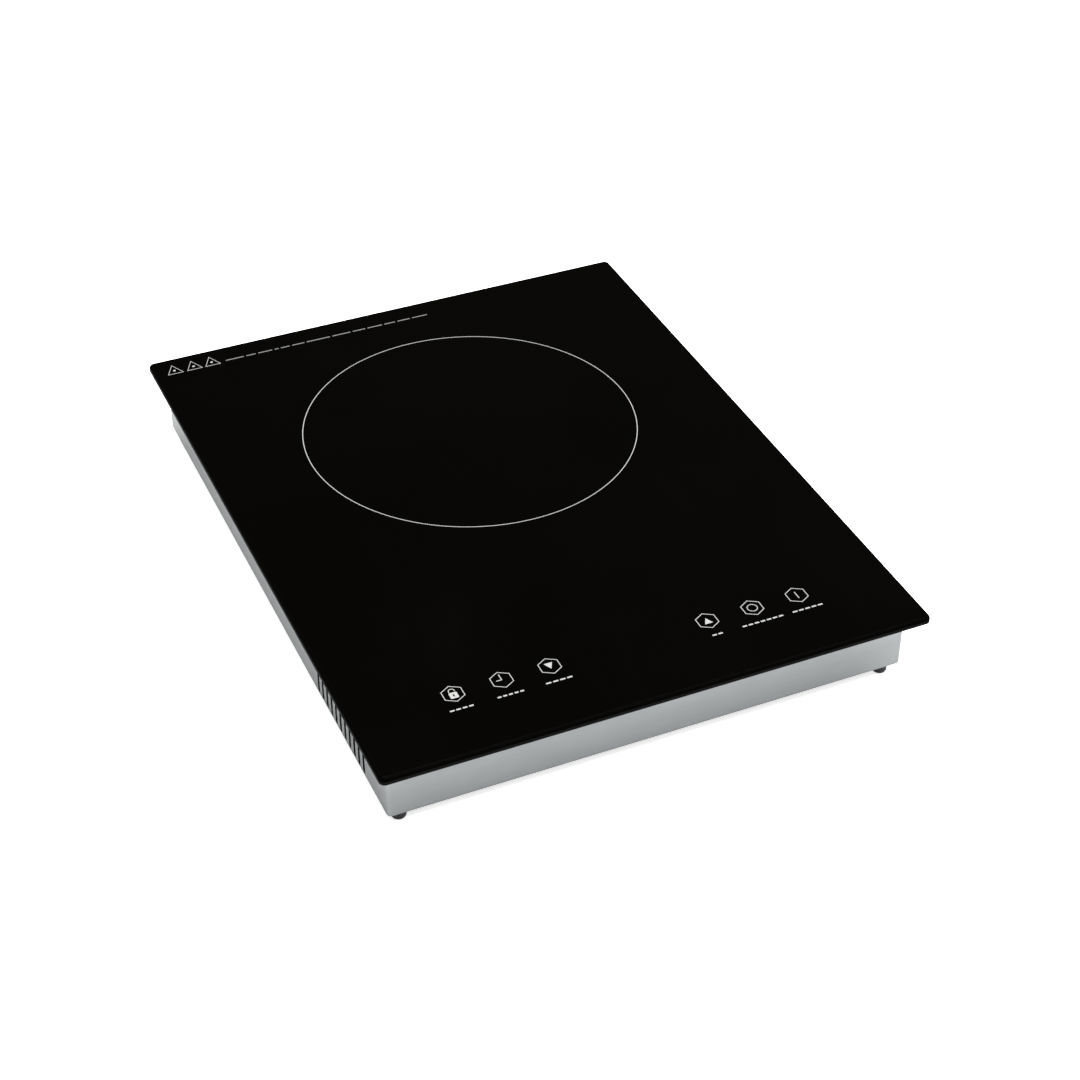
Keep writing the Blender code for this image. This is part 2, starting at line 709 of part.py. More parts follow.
def blade_outline(angle):
    """One forward-curved blade, seen from above."""
    inner, outer, sweep, half = 27 * MM, ROTOR_R - 0.2 * MM, 12, 0.4 * MM
    steps = 2
    front, back = [], []
    for i in range(steps + 1):
        t = i / steps
        radius = inner + (outer - inner) * t
        turn = math.radians(angle + sweep * t**2)
        along = Vector((math.cos(turn), math.sin(turn)))
        side = Vector((-along.y, along.x)) * half
        point = Vector(FAN) + along * radius
        front.append(tuple(point + side))
        back.append(tuple(point - side))
    return front + back[::-1]


def fan_rotor():
    """Impeller: shaft, hub cup over the stator, back plate, blades and a ring."""
    plate_t = 1.2 * MM
    floor = ROTOR_Z + 1.4 * MM
    shaft_top = FAN_TOP_Z - FAN_WALL - 1.5 * MM
    plate_low = ROTOR_TOP_Z - plate_t
    profile = [
        (SHAFT_R, shaft_top), (SHAFT_R, floor), (HUB_INNER_R, floor), (HUB_INNER_R, ROTOR_TOP_Z),
        (ROTOR_R, ROTOR_TOP_Z), (ROTOR_R, plate_low), (HUB_R, plate_low), (HUB_R, ROTOR_Z + 1 * MM),
        (HUB_R - 1 * MM, ROTOR_Z),
    ]
    rotor = solid("fan_rotor", turned(profile, FAN, 32), "grey_plastic")
    blades = []
    for i in range(BLADE_COUNT):
        outline = blade_outline(360 * i / BLADE_COUNT)
        blades.append(prism(outline, ROTOR_Z + 0.6 * MM, plate_low + plate_t / 2))
    combine(rotor, joined(blades), "UNION")
    ring = [(ROTOR_R, ROTOR_Z), (ROTOR_R, ROTOR_Z + plate_t)]
    ring += [(33 * MM, ROTOR_Z + plate_t), (33 * MM, ROTOR_Z)]
    combine(rotor, turned(ring, FAN, 32, ring=True), "UNION")


# ---------------------------------------------------------------- controls


def control_tray():
    """Plastic tray that holds the touch board up to the plate, on four legs."""
    width, depth = 264 * MM, 44 * MM
    outline = rounded_rect(width, depth, 3 * MM, (0, CONTROL_Y), 3)
    top = CONTROL_TRAY_Z + CONTROL_TRAY_T
    tray = solid("control_tray", prism(outline, CONTROL_TRAY_Z, top), "black_plastic")
    half = 3 * MM
    low = FLOOR_Z + GAP
    legs = []
    for sx in (-1, 1):
        for sy in (-1, 1):
            x = sx * (width / 2 - 4 * MM)
            y = CONTROL_Y + sy * (depth / 2 - 4 * MM)
            foot = FAN_TOP_Z + GAP if sx > 0 and sy > 0 else low
            ranges = ((x - half, x + half), (y - half, y + half), (foot, CONTROL_TRAY_Z + 0.6 * MM))
            legs.append(block(*ranges))
    combine(tray, joined(legs), "UNION")


def control_board():
    outline = rounded_rect(CONTROL_W, CONTROL_D, 2 * MM, (0, CONTROL_Y), 3)
    solid("control_board", prism(outline, CONTROL_Z, CONTROL_TOP_Z), "board_green")


def touch_springs():
    """Conical contact springs between the touch board and the plate, one under each key."""
    wire = 0.4 * MM
    low = CONTROL_TOP_Z + GAP + wire
    high = GLASS_Z - GAP - wire
    for i, x in enumerate(sorted(KEY_X)):
        route = helix((x, KEY_Y), (2.6 * MM, 4.4 * MM), low, high, 2.5, 10)
        tube(f"touch_spring_{i + 1}", route, wire, "spring_steel", 0)


def display_module():
    """Segment display that shines through the plate when the hob is on."""
    low = CONTROL_TOP_Z + GAP
    size = (46 * MM, 16 * MM, GLASS_Z - 0.6 * MM - low)
    shape = centred_block((0, KEY_Y, low + size[2] / 2), size)
    softened(solid("display_module", shape, "white_plastic"), 0.5 * MM, 2)


# ---------------------------------------------------------------- leads


def landing(x, y):
    """Last points of a lead that comes down square onto the power board."""
    board = BOARD_TOP_Z + GAP
    return [(x, y, board + 6 * MM), (x, y, board + 3 * MM), (x, y, board)]


def leads():
    """Internal wiring, each lead clear of its neighbours."""
    coil_mid = COIL_Z + COIL_T / 2
    under_tray = TRAY_Z - 5 * MM
    inner = [
        (COIL_HOLE_R - 0.8 * MM, ZONE_Y, coil_mid), (14 * MM, ZONE_Y - 1 * MM, coil_mid - 1 * MM),
        (11.6 * MM, ZONE_Y - 1.6 * MM, TRAY_Z + 3 * MM),
        (11 * MM, ZONE_Y - 6 * MM, under_tray + 2 * MM),
        (10 * MM, ZONE_Y - 30 * MM, under_tray - 2 * MM), (8 * MM, 0, under_tray - 2 * MM),
        (4 * MM, -38 * MM, under_tray + 1 * MM), (2 * MM, -50 * MM, under_tray),
    ] + landing(2 * MM, -54 * MM)
    outer = [
        (-18 * MM, ZONE_Y - COIL_R + 0.4 * MM, coil_mid),
        (-18 * MM, ZONE_Y - STACK_R - 6 * MM, coil_mid - 3 * MM),
        (-18 * MM, -42 * MM, 29 * MM), (-18 * MM, -51 * MM, 25 * MM),
    ] + landing(-18 * MM, -54 * MM)
    sensor = [
        (-7 * MM, ZONE_Y, TRAY_Z - 2.4 * MM), (-10 * MM, ZONE_Y - 10 * MM, under_tray - 1 * MM),
        (-22 * MM, ZONE_Y - 60 * MM, under_tray - 3 * MM), (-30 * MM, -30 * MM, 22 * MM),
        (-28 * MM, -50 * MM, 23 * MM),
    ] + landing(-28 * MM, -54 * MM)
    mains = [
        (INLET_X, 141.4 * MM, 13 * MM), (INLET_X + 0.6 * MM, 135 * MM, 12.8 * MM),
        (112 * MM, 112 * MM, 12 * MM), (118 * MM, 60 * MM, 11 * MM),
        (108 * MM, 0, 11 * MM), (80 * MM, -36 * MM, 14 * MM), (46 * MM, -46 * MM, 23 * MM),
        (32 * MM, -51 * MM, 25 * MM),
    ] + landing(28 * MM, -54 * MM)
    fan = [
        (FAN_X - 30 * MM, FAN_Y + FAN_SIZE / 2 + 1.4 * MM, 26 * MM), (54 * MM, -54 * MM, 26 * MM),
        (40 * MM, -60 * MM, 26 * MM), (32 * MM, -66 * MM, 24 * MM),
    ] + landing(30 * MM, -66 * MM)
    rows = (
        ("coil_lead_inner", inner, 1.5, "cable_red"), ("coil_lead_outer", outer, 1.5, "cable_red"),
        ("sensor_lead", sensor, 0.9, "cable_white"), ("mains_lead", mains, 2.4, "cable_black"),
        ("fan_lead", fan, 0.9, "cable_black"),
    )
    for name, points, radius, material in rows:
        tube(name, smooth_route(points, 2), radius * MM, material, 1)


def ribbon_cable():
    """Flat cable from the touch board down to the power board, behind the control tray."""
    half_w, half_t = 8 * MM, 0.5 * MM
    edge = CONTROL_Y + CONTROL_D / 2
    high = CONTROL_TOP_Z - 0.7 * MM
    route = [
        (edge + GAP, high), (edge + 3 * MM, high), (edge + 6 * MM, high - 2 * MM),
        (edge + 7 * MM, high - 6 * MM), (edge + 7 * MM, BOARD_TOP_Z + GAP),
    ]
    x_mid = -90 * MM
    loops = []
    for i, (y, z) in enumerate(route):
        before, after = route[max(i - 1, 0)], route[min(i + 1, len(route) - 1)]
        along = Vector((after[0] - before[0], after[1] - before[1])).normalized()
        across = Vector((-along.y, along.x)) * half_t
        ends = ((1, 1), (-1, 1), (-1, -1), (1, -1))
        loops.append([(x_mid + sx * half_w, y + st * across.x, z + st * across.y) for sx, st in ends])
    solid("ribbon_cable", loft(loops), "cable_white")


def build():
    clear_scene()
    for make in (
        glass_plate, glass_seal, case_pan, feet, cable_grommet,
        mica_disc, induction_coil, coil_former, ferrite_bars, coil_tray, tray_springs, coil_sensor,
        board_tray, power_board, heat_sink, power_packages, capacitors, filter_choke,
        terminal_block, screws,
        fan_housing, fan_stator, fan_rotor,
        control_tray, control_board, touch_springs, display_module,
        leads, ribbon_cable,
    ):
        make()


build()
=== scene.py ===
"""Visual model of a built-in induction hob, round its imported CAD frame."""

import json
import math

import bmesh
import bpy
from mathutils import Matrix, Vector


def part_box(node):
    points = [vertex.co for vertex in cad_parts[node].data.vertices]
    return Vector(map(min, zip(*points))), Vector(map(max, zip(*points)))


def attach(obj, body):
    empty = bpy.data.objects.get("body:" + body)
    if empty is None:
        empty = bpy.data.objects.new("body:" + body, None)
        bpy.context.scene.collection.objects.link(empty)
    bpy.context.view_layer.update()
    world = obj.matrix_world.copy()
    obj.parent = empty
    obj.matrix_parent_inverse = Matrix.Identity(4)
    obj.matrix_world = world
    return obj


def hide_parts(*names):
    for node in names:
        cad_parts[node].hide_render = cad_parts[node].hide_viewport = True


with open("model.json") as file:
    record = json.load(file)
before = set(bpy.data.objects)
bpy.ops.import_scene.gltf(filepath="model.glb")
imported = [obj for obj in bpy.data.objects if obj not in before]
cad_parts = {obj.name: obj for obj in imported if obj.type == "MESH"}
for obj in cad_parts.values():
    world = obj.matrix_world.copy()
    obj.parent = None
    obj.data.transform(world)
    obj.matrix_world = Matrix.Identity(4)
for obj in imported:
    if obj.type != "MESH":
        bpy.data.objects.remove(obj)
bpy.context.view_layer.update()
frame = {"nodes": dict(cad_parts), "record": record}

MM = 0.001

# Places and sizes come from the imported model.
PLATE_LOW, PLATE_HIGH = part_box("glass_plate")
CASE_LOW, CASE_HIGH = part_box("case_pan")
ROTOR_LOW, ROTOR_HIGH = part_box("fan_rotor")
TOP_Z = PLATE_HIGH.z
MOUNTS = {mount["name"]: mount["pos_m"] for mount in frame["record"]["mounts"]}
ZONE = tuple(MOUNTS["zone_top"][:2])
KEYS = [(low + high) / 2 for low, high in (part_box(f"touch_spring_{i + 1}") for i in range(6))]
FAN = ((ROTOR_LOW.x + ROTOR_HIGH.x) / 2, (ROTOR_LOW.y + ROTOR_HIGH.y) / 2)

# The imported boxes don't give these.
SHEET_T = 0.8 * MM
GAP = 0.3 * MM  # clearance between neighbouring solids of the CAD
CASE_CORNER_R = 2.4 * MM
CASE_EDGE_R = 1.6 * MM
RIM_W = 8 * MM


# ---------------------------------------------------------------- outlines and solids


def arc(centre, radius, start, stop, steps):
    """Points on an arc, angles in degrees."""
    angles = [math.radians(start + (stop - start) * i / steps) for i in range(steps + 1)]
    return [(centre[0] + radius * math.cos(a), centre[1] + radius * math.sin(a)) for a in angles]


def circle(radius, centre=(0, 0), steps=48):
    return arc(centre, radius, 0, 360, steps)[:-1]


def rounded_rect(width, depth, radius, centre=(0, 0), steps=6):
    """Outline with rounded corners, counter-clockwise."""
    x, y = width / 2 - radius, depth / 2 - radius
    points = []
    for sx, sy, start in ((1, -1, -90), (1, 1, 0), (-1, 1, 90), (-1, -1, 180)):
        corner = (centre[0] + sx * x, centre[1] + sy * y)
        points += arc(corner, radius, start, start + 90, steps)
    return points


def stadium(length, width, centre=(0, 0), steps=8):
    """Slot outline, its long side along Y."""
    reach = (length - width) / 2
    top = arc((centre[0], centre[1] + reach), width / 2, 0, 180, steps)
    return top + arc((centre[0], centre[1] - reach), width / 2, 180, 360, steps)


def at(outline, height):
    return [(x, y, height) for x, y in outline]


def loft(loops, ring=False):
    """Skin a stack of equal-length loops; cap both ends, or close the stack into a ring."""
    bm = bmesh.new()
    rows = [[bm.verts.new(point) for point in loop] for loop in loops]
    pairs = list(zip(rows, rows[1:]))
    if ring:
        pairs.append((rows[-1], rows[0]))
    count = len(rows[0])
    for low, high in pairs:
        for i in range(count):
            j = (i + 1) % count
            bm.faces.new((low[i], low[j], high[j], high[i]))
    if not ring:
        bm.faces.new(rows[0])
        bm.faces.new(rows[-1])
    bmesh.ops.recalc_face_normals(bm, faces=bm.faces)
    return bm


def prism(outline, low, high):
    return loft([at(outline, low), at(outline, high)])


def hoop(outer, inner, low, high):
    """Flat band between two outlines with the same number of points."""
    return loft([at(outer, low), at(outer, high), at(inner, high), at(inner, low)], ring=True)


def turned(profile, centre=(0, 0), steps=48, ring=False):
    """Lathe (radius, height) points about a vertical axis."""
    return loft([at(circle(radius, centre, steps), height) for radius, height in profile], ring)


def swung(bm, axis, degrees, origin=(0, 0, 0)):
    turn = Matrix.Rotation(math.radians(degrees), 3, axis)
    bmesh.ops.rotate(bm, cent=origin, matrix=turn, verts=bm.verts)
    return bm


def moved(bm, offset):
    bmesh.ops.translate(bm, vec=offset, verts=bm.verts)
    return bm


def joined(shapes):
    """Gather separate shapes into one bmesh."""
    whole = bmesh.new()
    for shape in shapes:
        mesh = bpy.data.meshes.new("shape")
        shape.to_mesh(mesh)
        shape.free()
        whole.from_mesh(mesh)
        bpy.data.meshes.remove(mesh)
    return whole


def made_object(name, bm, angle):
    mesh = bpy.data.meshes.new(name)
    bm.to_mesh(mesh)
    bm.free()
    mesh.shade_smooth()
    mesh.set_sharp_from_angle(angle=math.radians(angle))
    obj = bpy.data.objects.new(name, mesh)
    bpy.context.collection.objects.link(obj)
    return obj


def settle(obj, angle):
    """Apply obj's modifiers and mark its sharp edges again."""
    graph = bpy.context.evaluated_depsgraph_get()
    mesh = bpy.data.meshes.new_from_object(obj.evaluated_get(graph))
    obj.modifiers.clear()
    obj.data = mesh
    mesh.shade_smooth()
    mesh.set_sharp_from_angle(angle=math.radians(angle))


def carve(obj, bm, operation="DIFFERENCE", angle=35, finish=0):
    """Cut the shape in bm out of obj, or weld it on; its faces take obj's material slot finish."""
    tool = made_object("tool", bm, angle)
    for face in tool.data.polygons:
        face.material_index = finish
    modifier = obj.modifiers.new("carve", "BOOLEAN")
    modifier.operation = operation
    modifier.solver = "EXACT"
    modifier.object = tool
    settle(obj, angle)
    bpy.data.objects.remove(tool)


def eased(obj, width, segments=2, angle=40):
    """Round obj's sharp edges by width."""
    modifier = obj.modifiers.new("eased", "BEVEL")
    modifier.width = width
    modifier.segments = segments
    modifier.limit_method = "ANGLE"
    modifier.angle_limit = math.radians(angle)
    modifier.harden_normals = True
    return obj


def flattened(obj):
    """Weigh normals by face area, so that wide flats stay flat beside their bends."""
    modifier = obj.modifiers.new("flattened", "WEIGHTED_NORMAL")
    modifier.keep_sharp = True
    modifier.weight = 100
    return obj


def piece(name, shape, slot, replaces=(), body="hob", material=None):
    """A visible piece: shape is a bmesh or an object. It takes the slot's finish, or material."""
    obj = made_object(name, shape, 35) if isinstance(shape, bmesh.types.BMesh) else shape
    obj.data.materials.append(material or FINISHES[slot])
    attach(obj, body)
    if replaces:
        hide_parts(*replaces)


def wire(name, points, radius, sides):
    """Round tube along points, as a mesh object."""
    curve = bpy.data.curves.new(name, "CURVE")
    curve.dimensions = "3D"
    curve.bevel_depth = radius
    curve.bevel_resolution = sides // 2 - 2
    curve.use_fill_caps = True
    spline = curve.splines.new("POLY")
    spline.points.add(len(points) - 1)
    for target, point in zip(spline.points, points):
        target.co = (*point, 1)
    obj = bpy.data.objects.new(name, curve)
    bpy.context.collection.objects.link(obj)
    graph = bpy.context.evaluated_depsgraph_get()
    mesh = bpy.data.meshes.new_from_object(obj.evaluated_get(graph))
    bpy.data.objects.remove(obj)
    bpy.data.curves.remove(curve)
    mesh.name = name
    mesh.shade_smooth()
    mesh.set_sharp_from_angle(angle=math.radians(50))
    made = bpy.data.objects.new(name, mesh)
    bpy.context.collection.objects.link(made)
    return made


def wire_piece(name, points, radius, sides, slot, replaces=()):
    piece(name, wire(name, points, radius, sides), slot, replaces)


def smooth_route(points, per_span=6):
    """Catmull-Rom points through the route's own points."""
    knots = [Vector(p) for p in points]
    knots = [2 * knots[0] - knots[1], *knots, 2 * knots[-1] - knots[-2]]
    route = []
    for a, b, c, d in zip(knots, knots[1:], knots[2:], knots[3:]):
        for i in range(per_span):
            t = i / per_span
            square, cube = 2 * a - 5 * b + 4 * c - d, 3 * b - 3 * c + d - a
            route.append(0.5 * (2 * b + (c - a) * t + square * t**2 + cube * t**3))
    route.append(knots[-2])
    return route


# ---------------------------------------------------------------- materials


def feed(tree, node, key, value):
    """Link a socket to the node's input, or put a constant on it."""
    if isinstance(value, bpy.types.NodeSocket):
        tree.links.new(value, node.inputs[key])
    else:
        node.inputs[key].default_value = value


def add_node(tree, kind, inputs=None):
    node = tree.nodes.new(kind)
    for key, value in (inputs or {}).items():
        feed(tree, node, key, value)
    return node


def fill_ramp(node, stops):
    """Put (position, colour) stops on a ramp node."""
    ramp = node.color_ramp
    while len(ramp.elements) < len(stops):
        ramp.elements.new(0.5)
    for element, (position, color) in zip(ramp.elements, stops):
        element.position = position
        element.color = (*color, 1)


class Finish:
    """Builds one principled material; constants sit on the shader's own sockets."""

    def __init__(self, name, color, roughness, metallic=0.0, specular=0.5, **sockets):
        self.material = bpy.data.materials.new(name)
        self.material.use_nodes = True
        self.tree = self.material.node_tree
        self.shader = self.tree.nodes["Principled BSDF"]
        self.set(self.shader, "Base Color", (*color, 1))
        self.set(self.shader, "Roughness", roughness)
        self.set(self.shader, "Metallic", metallic)
        self.set(self.shader, "Specular IOR Level", specular)
        for key, value in sockets.items():
            self.set(self.shader, key.replace("_", " "), value)
        self.height = None

    def set(self, node, key, value):
        feed(self.tree, node, key, value)

    def node(self, kind, inputs=None):
        return add_node(self.tree, kind, inputs)

    def place(self, stretch=(1, 1, 1), turn=0.0):
        """Object coordinates, stretched and turned about Z."""
        source = self.node("ShaderNodeTexCoord").outputs["Object"]
        inputs = {"Vector": source, "Scale": stretch, "Rotation": (0, 0, math.radians(turn))}
        return self.node("ShaderNodeMapping", inputs).outputs["Vector"]

    def noise(self, scale, detail=3.0, stretch=(1, 1, 1), distortion=0.0, turn=0.0):
        """Noise with about scale features a metre."""
        place = self.place(stretch, turn)
        inputs = {"Vector": place, "Scale": scale, "Detail": detail, "Distortion": distortion}
        return self.node("ShaderNodeTexNoise", inputs).outputs["Fac"]

    def cells(self, scale, randomness=1.0):
        """Distance to the nearest of scattered or gridded points."""
        inputs = {"Vector": self.place(), "Scale": scale, "Randomness": randomness}
        return self.node("ShaderNodeTexVoronoi", inputs).outputs["Distance"]

    def span(self, value, low, high, start=0.3, stop=0.7):
        """Map start..stop of a pattern to low..high."""
        return self.node("ShaderNodeMapRange", {
            "Value": value, "From Min": start, "From Max": stop, "To Min": low, "To Max": high,
        }).outputs["Result"]

    def color(self, value, stops):
        ramp = self.node("ShaderNodeValToRGB", {"Fac": value})
        fill_ramp(ramp, stops)
        self.set(self.shader, "Base Color", ramp.outputs["Color"])

    def rough(self, value, low, high, start=0.3, stop=0.7):
        self.set(self.shader, "Roughness", self.span(value, low, high, start, stop))

    def bump(self, value, distance, strength=1.0):
        """Add a bump of that height in metres on top of the earlier ones."""
        inputs = {"Height": value, "Distance": distance, "Strength": strength}
        if self.height:
            inputs["Normal"] = self.height
        self.height = self.node("ShaderNodeBump", inputs).outputs["Normal"]
        self.set(self.shader, "Normal", self.height)
        return self


def tinted(color, factor):
    return tuple(min(1.0, c * factor) for c in color)


def mottled(name, color, spread, scale, roughness, grain, height, metallic=0.0, specular=0.5):
    """Common recipe: colour clouds, uneven gloss and a fine grain."""
    made = Finish(name, color, roughness[0], metallic, specular)
    clouds = made.noise(scale, 4.0)
    made.color(clouds, [(0.3, tinted(color, 1 - spread)), (0.7, tinted(color, 1 + spread))])
    made.rough(made.noise(scale * 2.3, 3.0), *roughness)
    return made.bump(made.noise(grain, 2.0), height).material


def polished_glass():
    """Black glass-ceramic: deep and even, with faint wipe marks in its gloss."""
    color = (0.0007, 0.0006, 0.0004)
    made = Finish("glass_polished", color, 0.06, specular=0.25)
    made.color(made.noise(9, 3.0), [(0.35, tinted(color, 0.85)), (0.7, tinted(color, 1.15))])
    smears = made.noise(26, 5.0, (1, 0.35, 1), 0.6, 24)
    made.rough(smears, 0.045, 0.10, 0.35, 0.75)
    return made.bump(made.noise(70, 2.0), 0.004 * MM, 0.25).material


def ground_glass(name, color, specular):
    """Ground edge of the plate: matt, with fine marks along the edge."""
    made = Finish(name, color, 0.4, specular=specular)
    marks = made.noise(140, 4.0, (1, 1, 26))
    made.color(marks, [(0.3, tinted(color, 0.75)), (0.7, tinted(color, 1.3))])
    made.rough(made.noise(420, 3.0), 0.34, 0.5)
    return made.bump(marks, 0.01 * MM, 0.4).material


def nubbed_glass():
    """Underside of the plate, with rows of small round nubs."""
    color = (0.006, 0.006, 0.006)
    made = Finish("glass_nubbed", color, 0.3, specular=0.4)
    nubs = made.cells(420, randomness=0.0)
    made.color(made.noise(60, 3.0), [(0.3, tinted(color, 0.8)), (0.7, tinted(color, 1.3))])
    made.rough(made.noise(300, 2.0), 0.25, 0.4)
    return made.bump(made.span(nubs, 1.0, 0.0, 0.1, 0.6), 0.06 * MM).material


def enamel(name, color, scale, dark, bright, roughness):
    """Ceramic ink fired on the glass: slightly grainy and dulled."""
    made = Finish(name, color, 0.5, specular=0.3)
    grain = made.noise(scale, 2.0)
    made.color(grain, [(0.3, tinted(color, dark)), (0.62, tinted(color, bright))])
    made.rough(made.noise(500, 2.0), *roughness)
    return made.bump(grain, 0.006 * MM).material


def case_steel():
    """Zinc-coated sheet in an even satin: soft clouds, a fine matt grain, faint rolling lines."""
    color = (0.262, 0.273, 0.277)
    made = Finish("case_steel", color, 0.4, metallic=1.0)
    clouds = made.noise(22, 5.0, (1, 1, 1.6), 0.4)
    made.color(clouds, [(0.3, tinted(color, 0.96)), (0.7, tinted(color, 1.03))])
    made.rough(made.noise(160, 4.0, (0.4, 0.4, 2.5)), 0.385, 0.45)
    made.bump(made.noise(1500, 2.0), 0.004 * MM, 0.5)
    return made.bump(made.noise(260, 3.0, (0.08, 0.08, 3.0)), 0.004 * MM, 0.35).material


def cut_edge():
    """Sheared edge of the sheet: dull, and painted far darker than its zinc faces as the shade
    inside the openings.
    """
    color = (0.014, 0.014, 0.0135)
    made = Finish("case_cut_edge_painted_shade", color, 0.65, metallic=0.3, specular=0.1)
    tears = made.noise(900, 3.0, (1, 1, 0.2))
    made.color(tears, [(0.3, tinted(color, 0.6)), (0.7, tinted(color, 1.5))])
    return made.bump(tears, 0.02 * MM, 0.6).material


def copper(name, color):
    """Enamelled copper strands, twisted in a bundle."""
    made = Finish(name, color, 0.35, metallic=1.0, Coat_Weight=0.4, Coat_Roughness=0.15)
    strands = made.noise(900, 3.0, distortion=1.4)
    made.color(strands, [(0.3, tinted(color, 0.55)), (0.65, tinted(color, 1.2))])
    made.rough(made.noise(200, 2.0), 0.28, 0.45)
    return made.bump(strands, 0.25 * MM).material


def board_lacquer():
    """Solder mask over copper tracks, with a scatter of tinned pads."""
    mask, track, pad = (0.008, 0.06, 0.022), (0.016, 0.115, 0.04), (0.62, 0.62, 0.6)
    made = Finish("board_lacquer", mask, 0.32, specular=0.5, Coat_Weight=0.3, Coat_Roughness=0.1)
    brick = made.node("ShaderNodeTexBrick", {
        "Vector": made.place(), "Color1": (*mask, 1), "Color2": (*tinted(mask, 1.25), 1),
        "Mortar": (*track, 1), "Scale": 90.0, "Mortar Size": 0.045, "Brick Width": 0.9,
        "Row Height": 0.32,
    })
    dots = made.span(made.cells(190), 1.0, 0.0, 0.14, 0.2)
    blend = made.node("ShaderNodeMixRGB", {
        "Fac": dots, "Color1": brick.outputs["Color"], "Color2": (*pad, 1),
    })
    made.set(made.shader, "Base Color", blend.outputs[0])
    made.rough(made.noise(300, 2.0), 0.26, 0.4)
    return made.bump(brick.outputs["Fac"], 0.03 * MM).material


def mica():
    """Pressed mica sheet: overlapping flakes of slightly different tint."""
    made = Finish("mica_flakes", (0.4, 0.31, 0.18), 0.35, specular=0.5)
    flakes = made.noise(95, 5.0, distortion=2.2)
    made.color(flakes, [(0.3, (0.34, 0.25, 0.13)), (0.5, (0.42, 0.33, 0.19)),
                        (0.7, (0.47, 0.38, 0.24))])
    made.rough(made.noise(140, 3.0), 0.25, 0.45)
    return made.bump(flakes, 0.04 * MM).material


def drawn_metal(name, color, stretch, roughness):
    """Bare metal with drawing lines."""
    made = Finish(name, color, roughness[0], metallic=1.0)
    lines = made.noise(500, 4.0, stretch)
    made.color(lines, [(0.3, tinted(color, 0.88)), (0.7, tinted(color, 1.06))])
    made.rough(made.noise(120, 3.0), *roughness)
    return made.bump(lines, 0.01 * MM, 0.5).material


def moulded(name, color, roughness=(0.38, 0.52)):
    """Moulded plastic with a fine spark-eroded texture."""
    return mottled(name, color, 0.08, 60, roughness, 2000, 0.015 * MM, specular=0.45)


GLASS = polished_glass()
# One ground finish in two tints: near black on the pencil curve, and lighter on the vertical edge
# as a painted reflection of the floor.
GLASS_CURVE = ground_glass("glass_pencil", (0.0011, 0.0010, 0.0009), 0.003)
GLASS_EDGE_SHEEN = ground_glass("glass_ground", (0.0062, 0.0060, 0.0058), 0.006)
GLASS_UNDER = nubbed_glass()
ENAMEL = enamel("print_enamel", (0.33, 0.33, 0.32), 2600, 0.86, 1.08, (0.4, 0.6))
ENAMEL_DULL = enamel("print_enamel_dull", (0.15, 0.15, 0.145), 2400, 0.8, 1.15, (0.45, 0.65))
STEEL = case_steel()
CUT_EDGE_SHADE = cut_edge()
FINISHES = {
    "black_glass": GLASS,
    "sheet_steel": STEEL,
    "black_rubber": mottled("rubber_black", (0.013, 0.0135, 0.014), 0.3, 90, (0.5, 0.72), 2400,
                            0.02 * MM, specular=0.4),
    "silicone": mottled("silicone_bead", (0.02, 0.02, 0.021), 0.15, 80, (0.45, 0.6), 900,
                        0.02 * MM),
    "mica": mica(),
    "copper_litz": copper("copper_litz_enamel", (0.72, 0.30, 0.13)),
    "copper_wire": copper("copper_wire_enamel", (0.66, 0.24, 0.09)),
    "black_plastic": moulded("plastic_black", (0.016, 0.016, 0.017)),
    "grey_plastic": moulded("plastic_grey", (0.055, 0.056, 0.06)),
    "white_plastic": moulded("plastic_white", (0.68, 0.68, 0.65)),
    "component_black": moulded("epoxy_black", (0.012, 0.012, 0.012), (0.3, 0.42)),
    "capacitor_blue": moulded("film_case_blue", (0.02, 0.06, 0.24), (0.28, 0.4)),
    "ferrite": mottled("ferrite_sintered", (0.035, 0.034, 0.036), 0.2, 200, (0.6, 0.8), 1600,
                       0.03 * MM),
    "aluminium": drawn_metal("aluminium_extruded", (0.72, 0.73, 0.74), (0.05, 1, 1), (0.3, 0.42)),
    "spring_steel": drawn_metal("spring_steel_drawn", (0.42, 0.42, 0.43), (1, 1, 0.2),
                                (0.22, 0.34)),
    "screw_steel": mottled("zinc_plating", (0.60, 0.60, 0.58), 0.1, 300, (0.22, 0.36), 1800,
                           0.01 * MM, metallic=1.0),
    "circuit_board": board_lacquer(),
    "cable_red": moulded("sheath_red", (0.42, 0.015, 0.012), (0.35, 0.5)),
    "cable_white": moulded("sheath_white", (0.62, 0.62, 0.6), (0.35, 0.5)),
    "cable_black": moulded("sheath_black", (0.014, 0.014, 0.014), (0.35, 0.5)),
}


# ---------------------------------------------------------------- outer shell


def cooktop_plate():
    """Plate with finely rounded corners, a pencil edge above and a small arris below."""
    size = PLATE_HIGH - PLATE_LOW
    corner, pencil, arris = 3.4 * MM, 1.9 * MM, 0.5 * MM
    flat, border = 2.6 * MM, 0.4 * MM
    profile = [(flat, PLATE_LOW.z), (arris + border, PLATE_LOW.z)]
    for inset, drop in arc((arris, arris), arris, -90, -180, 4):
        profile.append((inset, PLATE_LOW.z + drop))
    for inset, rise in arc((pencil, 0), pencil, 180, 90, 8):
        profile.append((inset, TOP_Z - pencil + rise))
    profile += [(pencil + border, TOP_Z), (flat, TOP_Z)]
    loops = []
    for inset, z in profile:
        width, depth = size.x - 2 * inset, size.y - 2 * inset
        loops.append(at(rounded_rect(width, depth, corner - inset, steps=14), z))
    plate = made_object("cooktop_plate", loft(loops), 60)
    for material in (GLASS, GLASS_CURVE, GLASS_EDGE_SHEEN, GLASS_UNDER):
        plate.data.materials.append(material)
    # Faces sloping up take the near-black tint; the vertical edge and the arris take the lighter
    # one, a painted reflection.
    for face in plate.data.polygons:
        tilt = face.normal.z
        if abs(tilt) > 0.999:
            face.material_index = 0 if tilt > 0 else 3
        else:
            face.material_index = 1 if tilt > 0.05 else 2
    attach(plate, "hob")
    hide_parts("glass_plate")


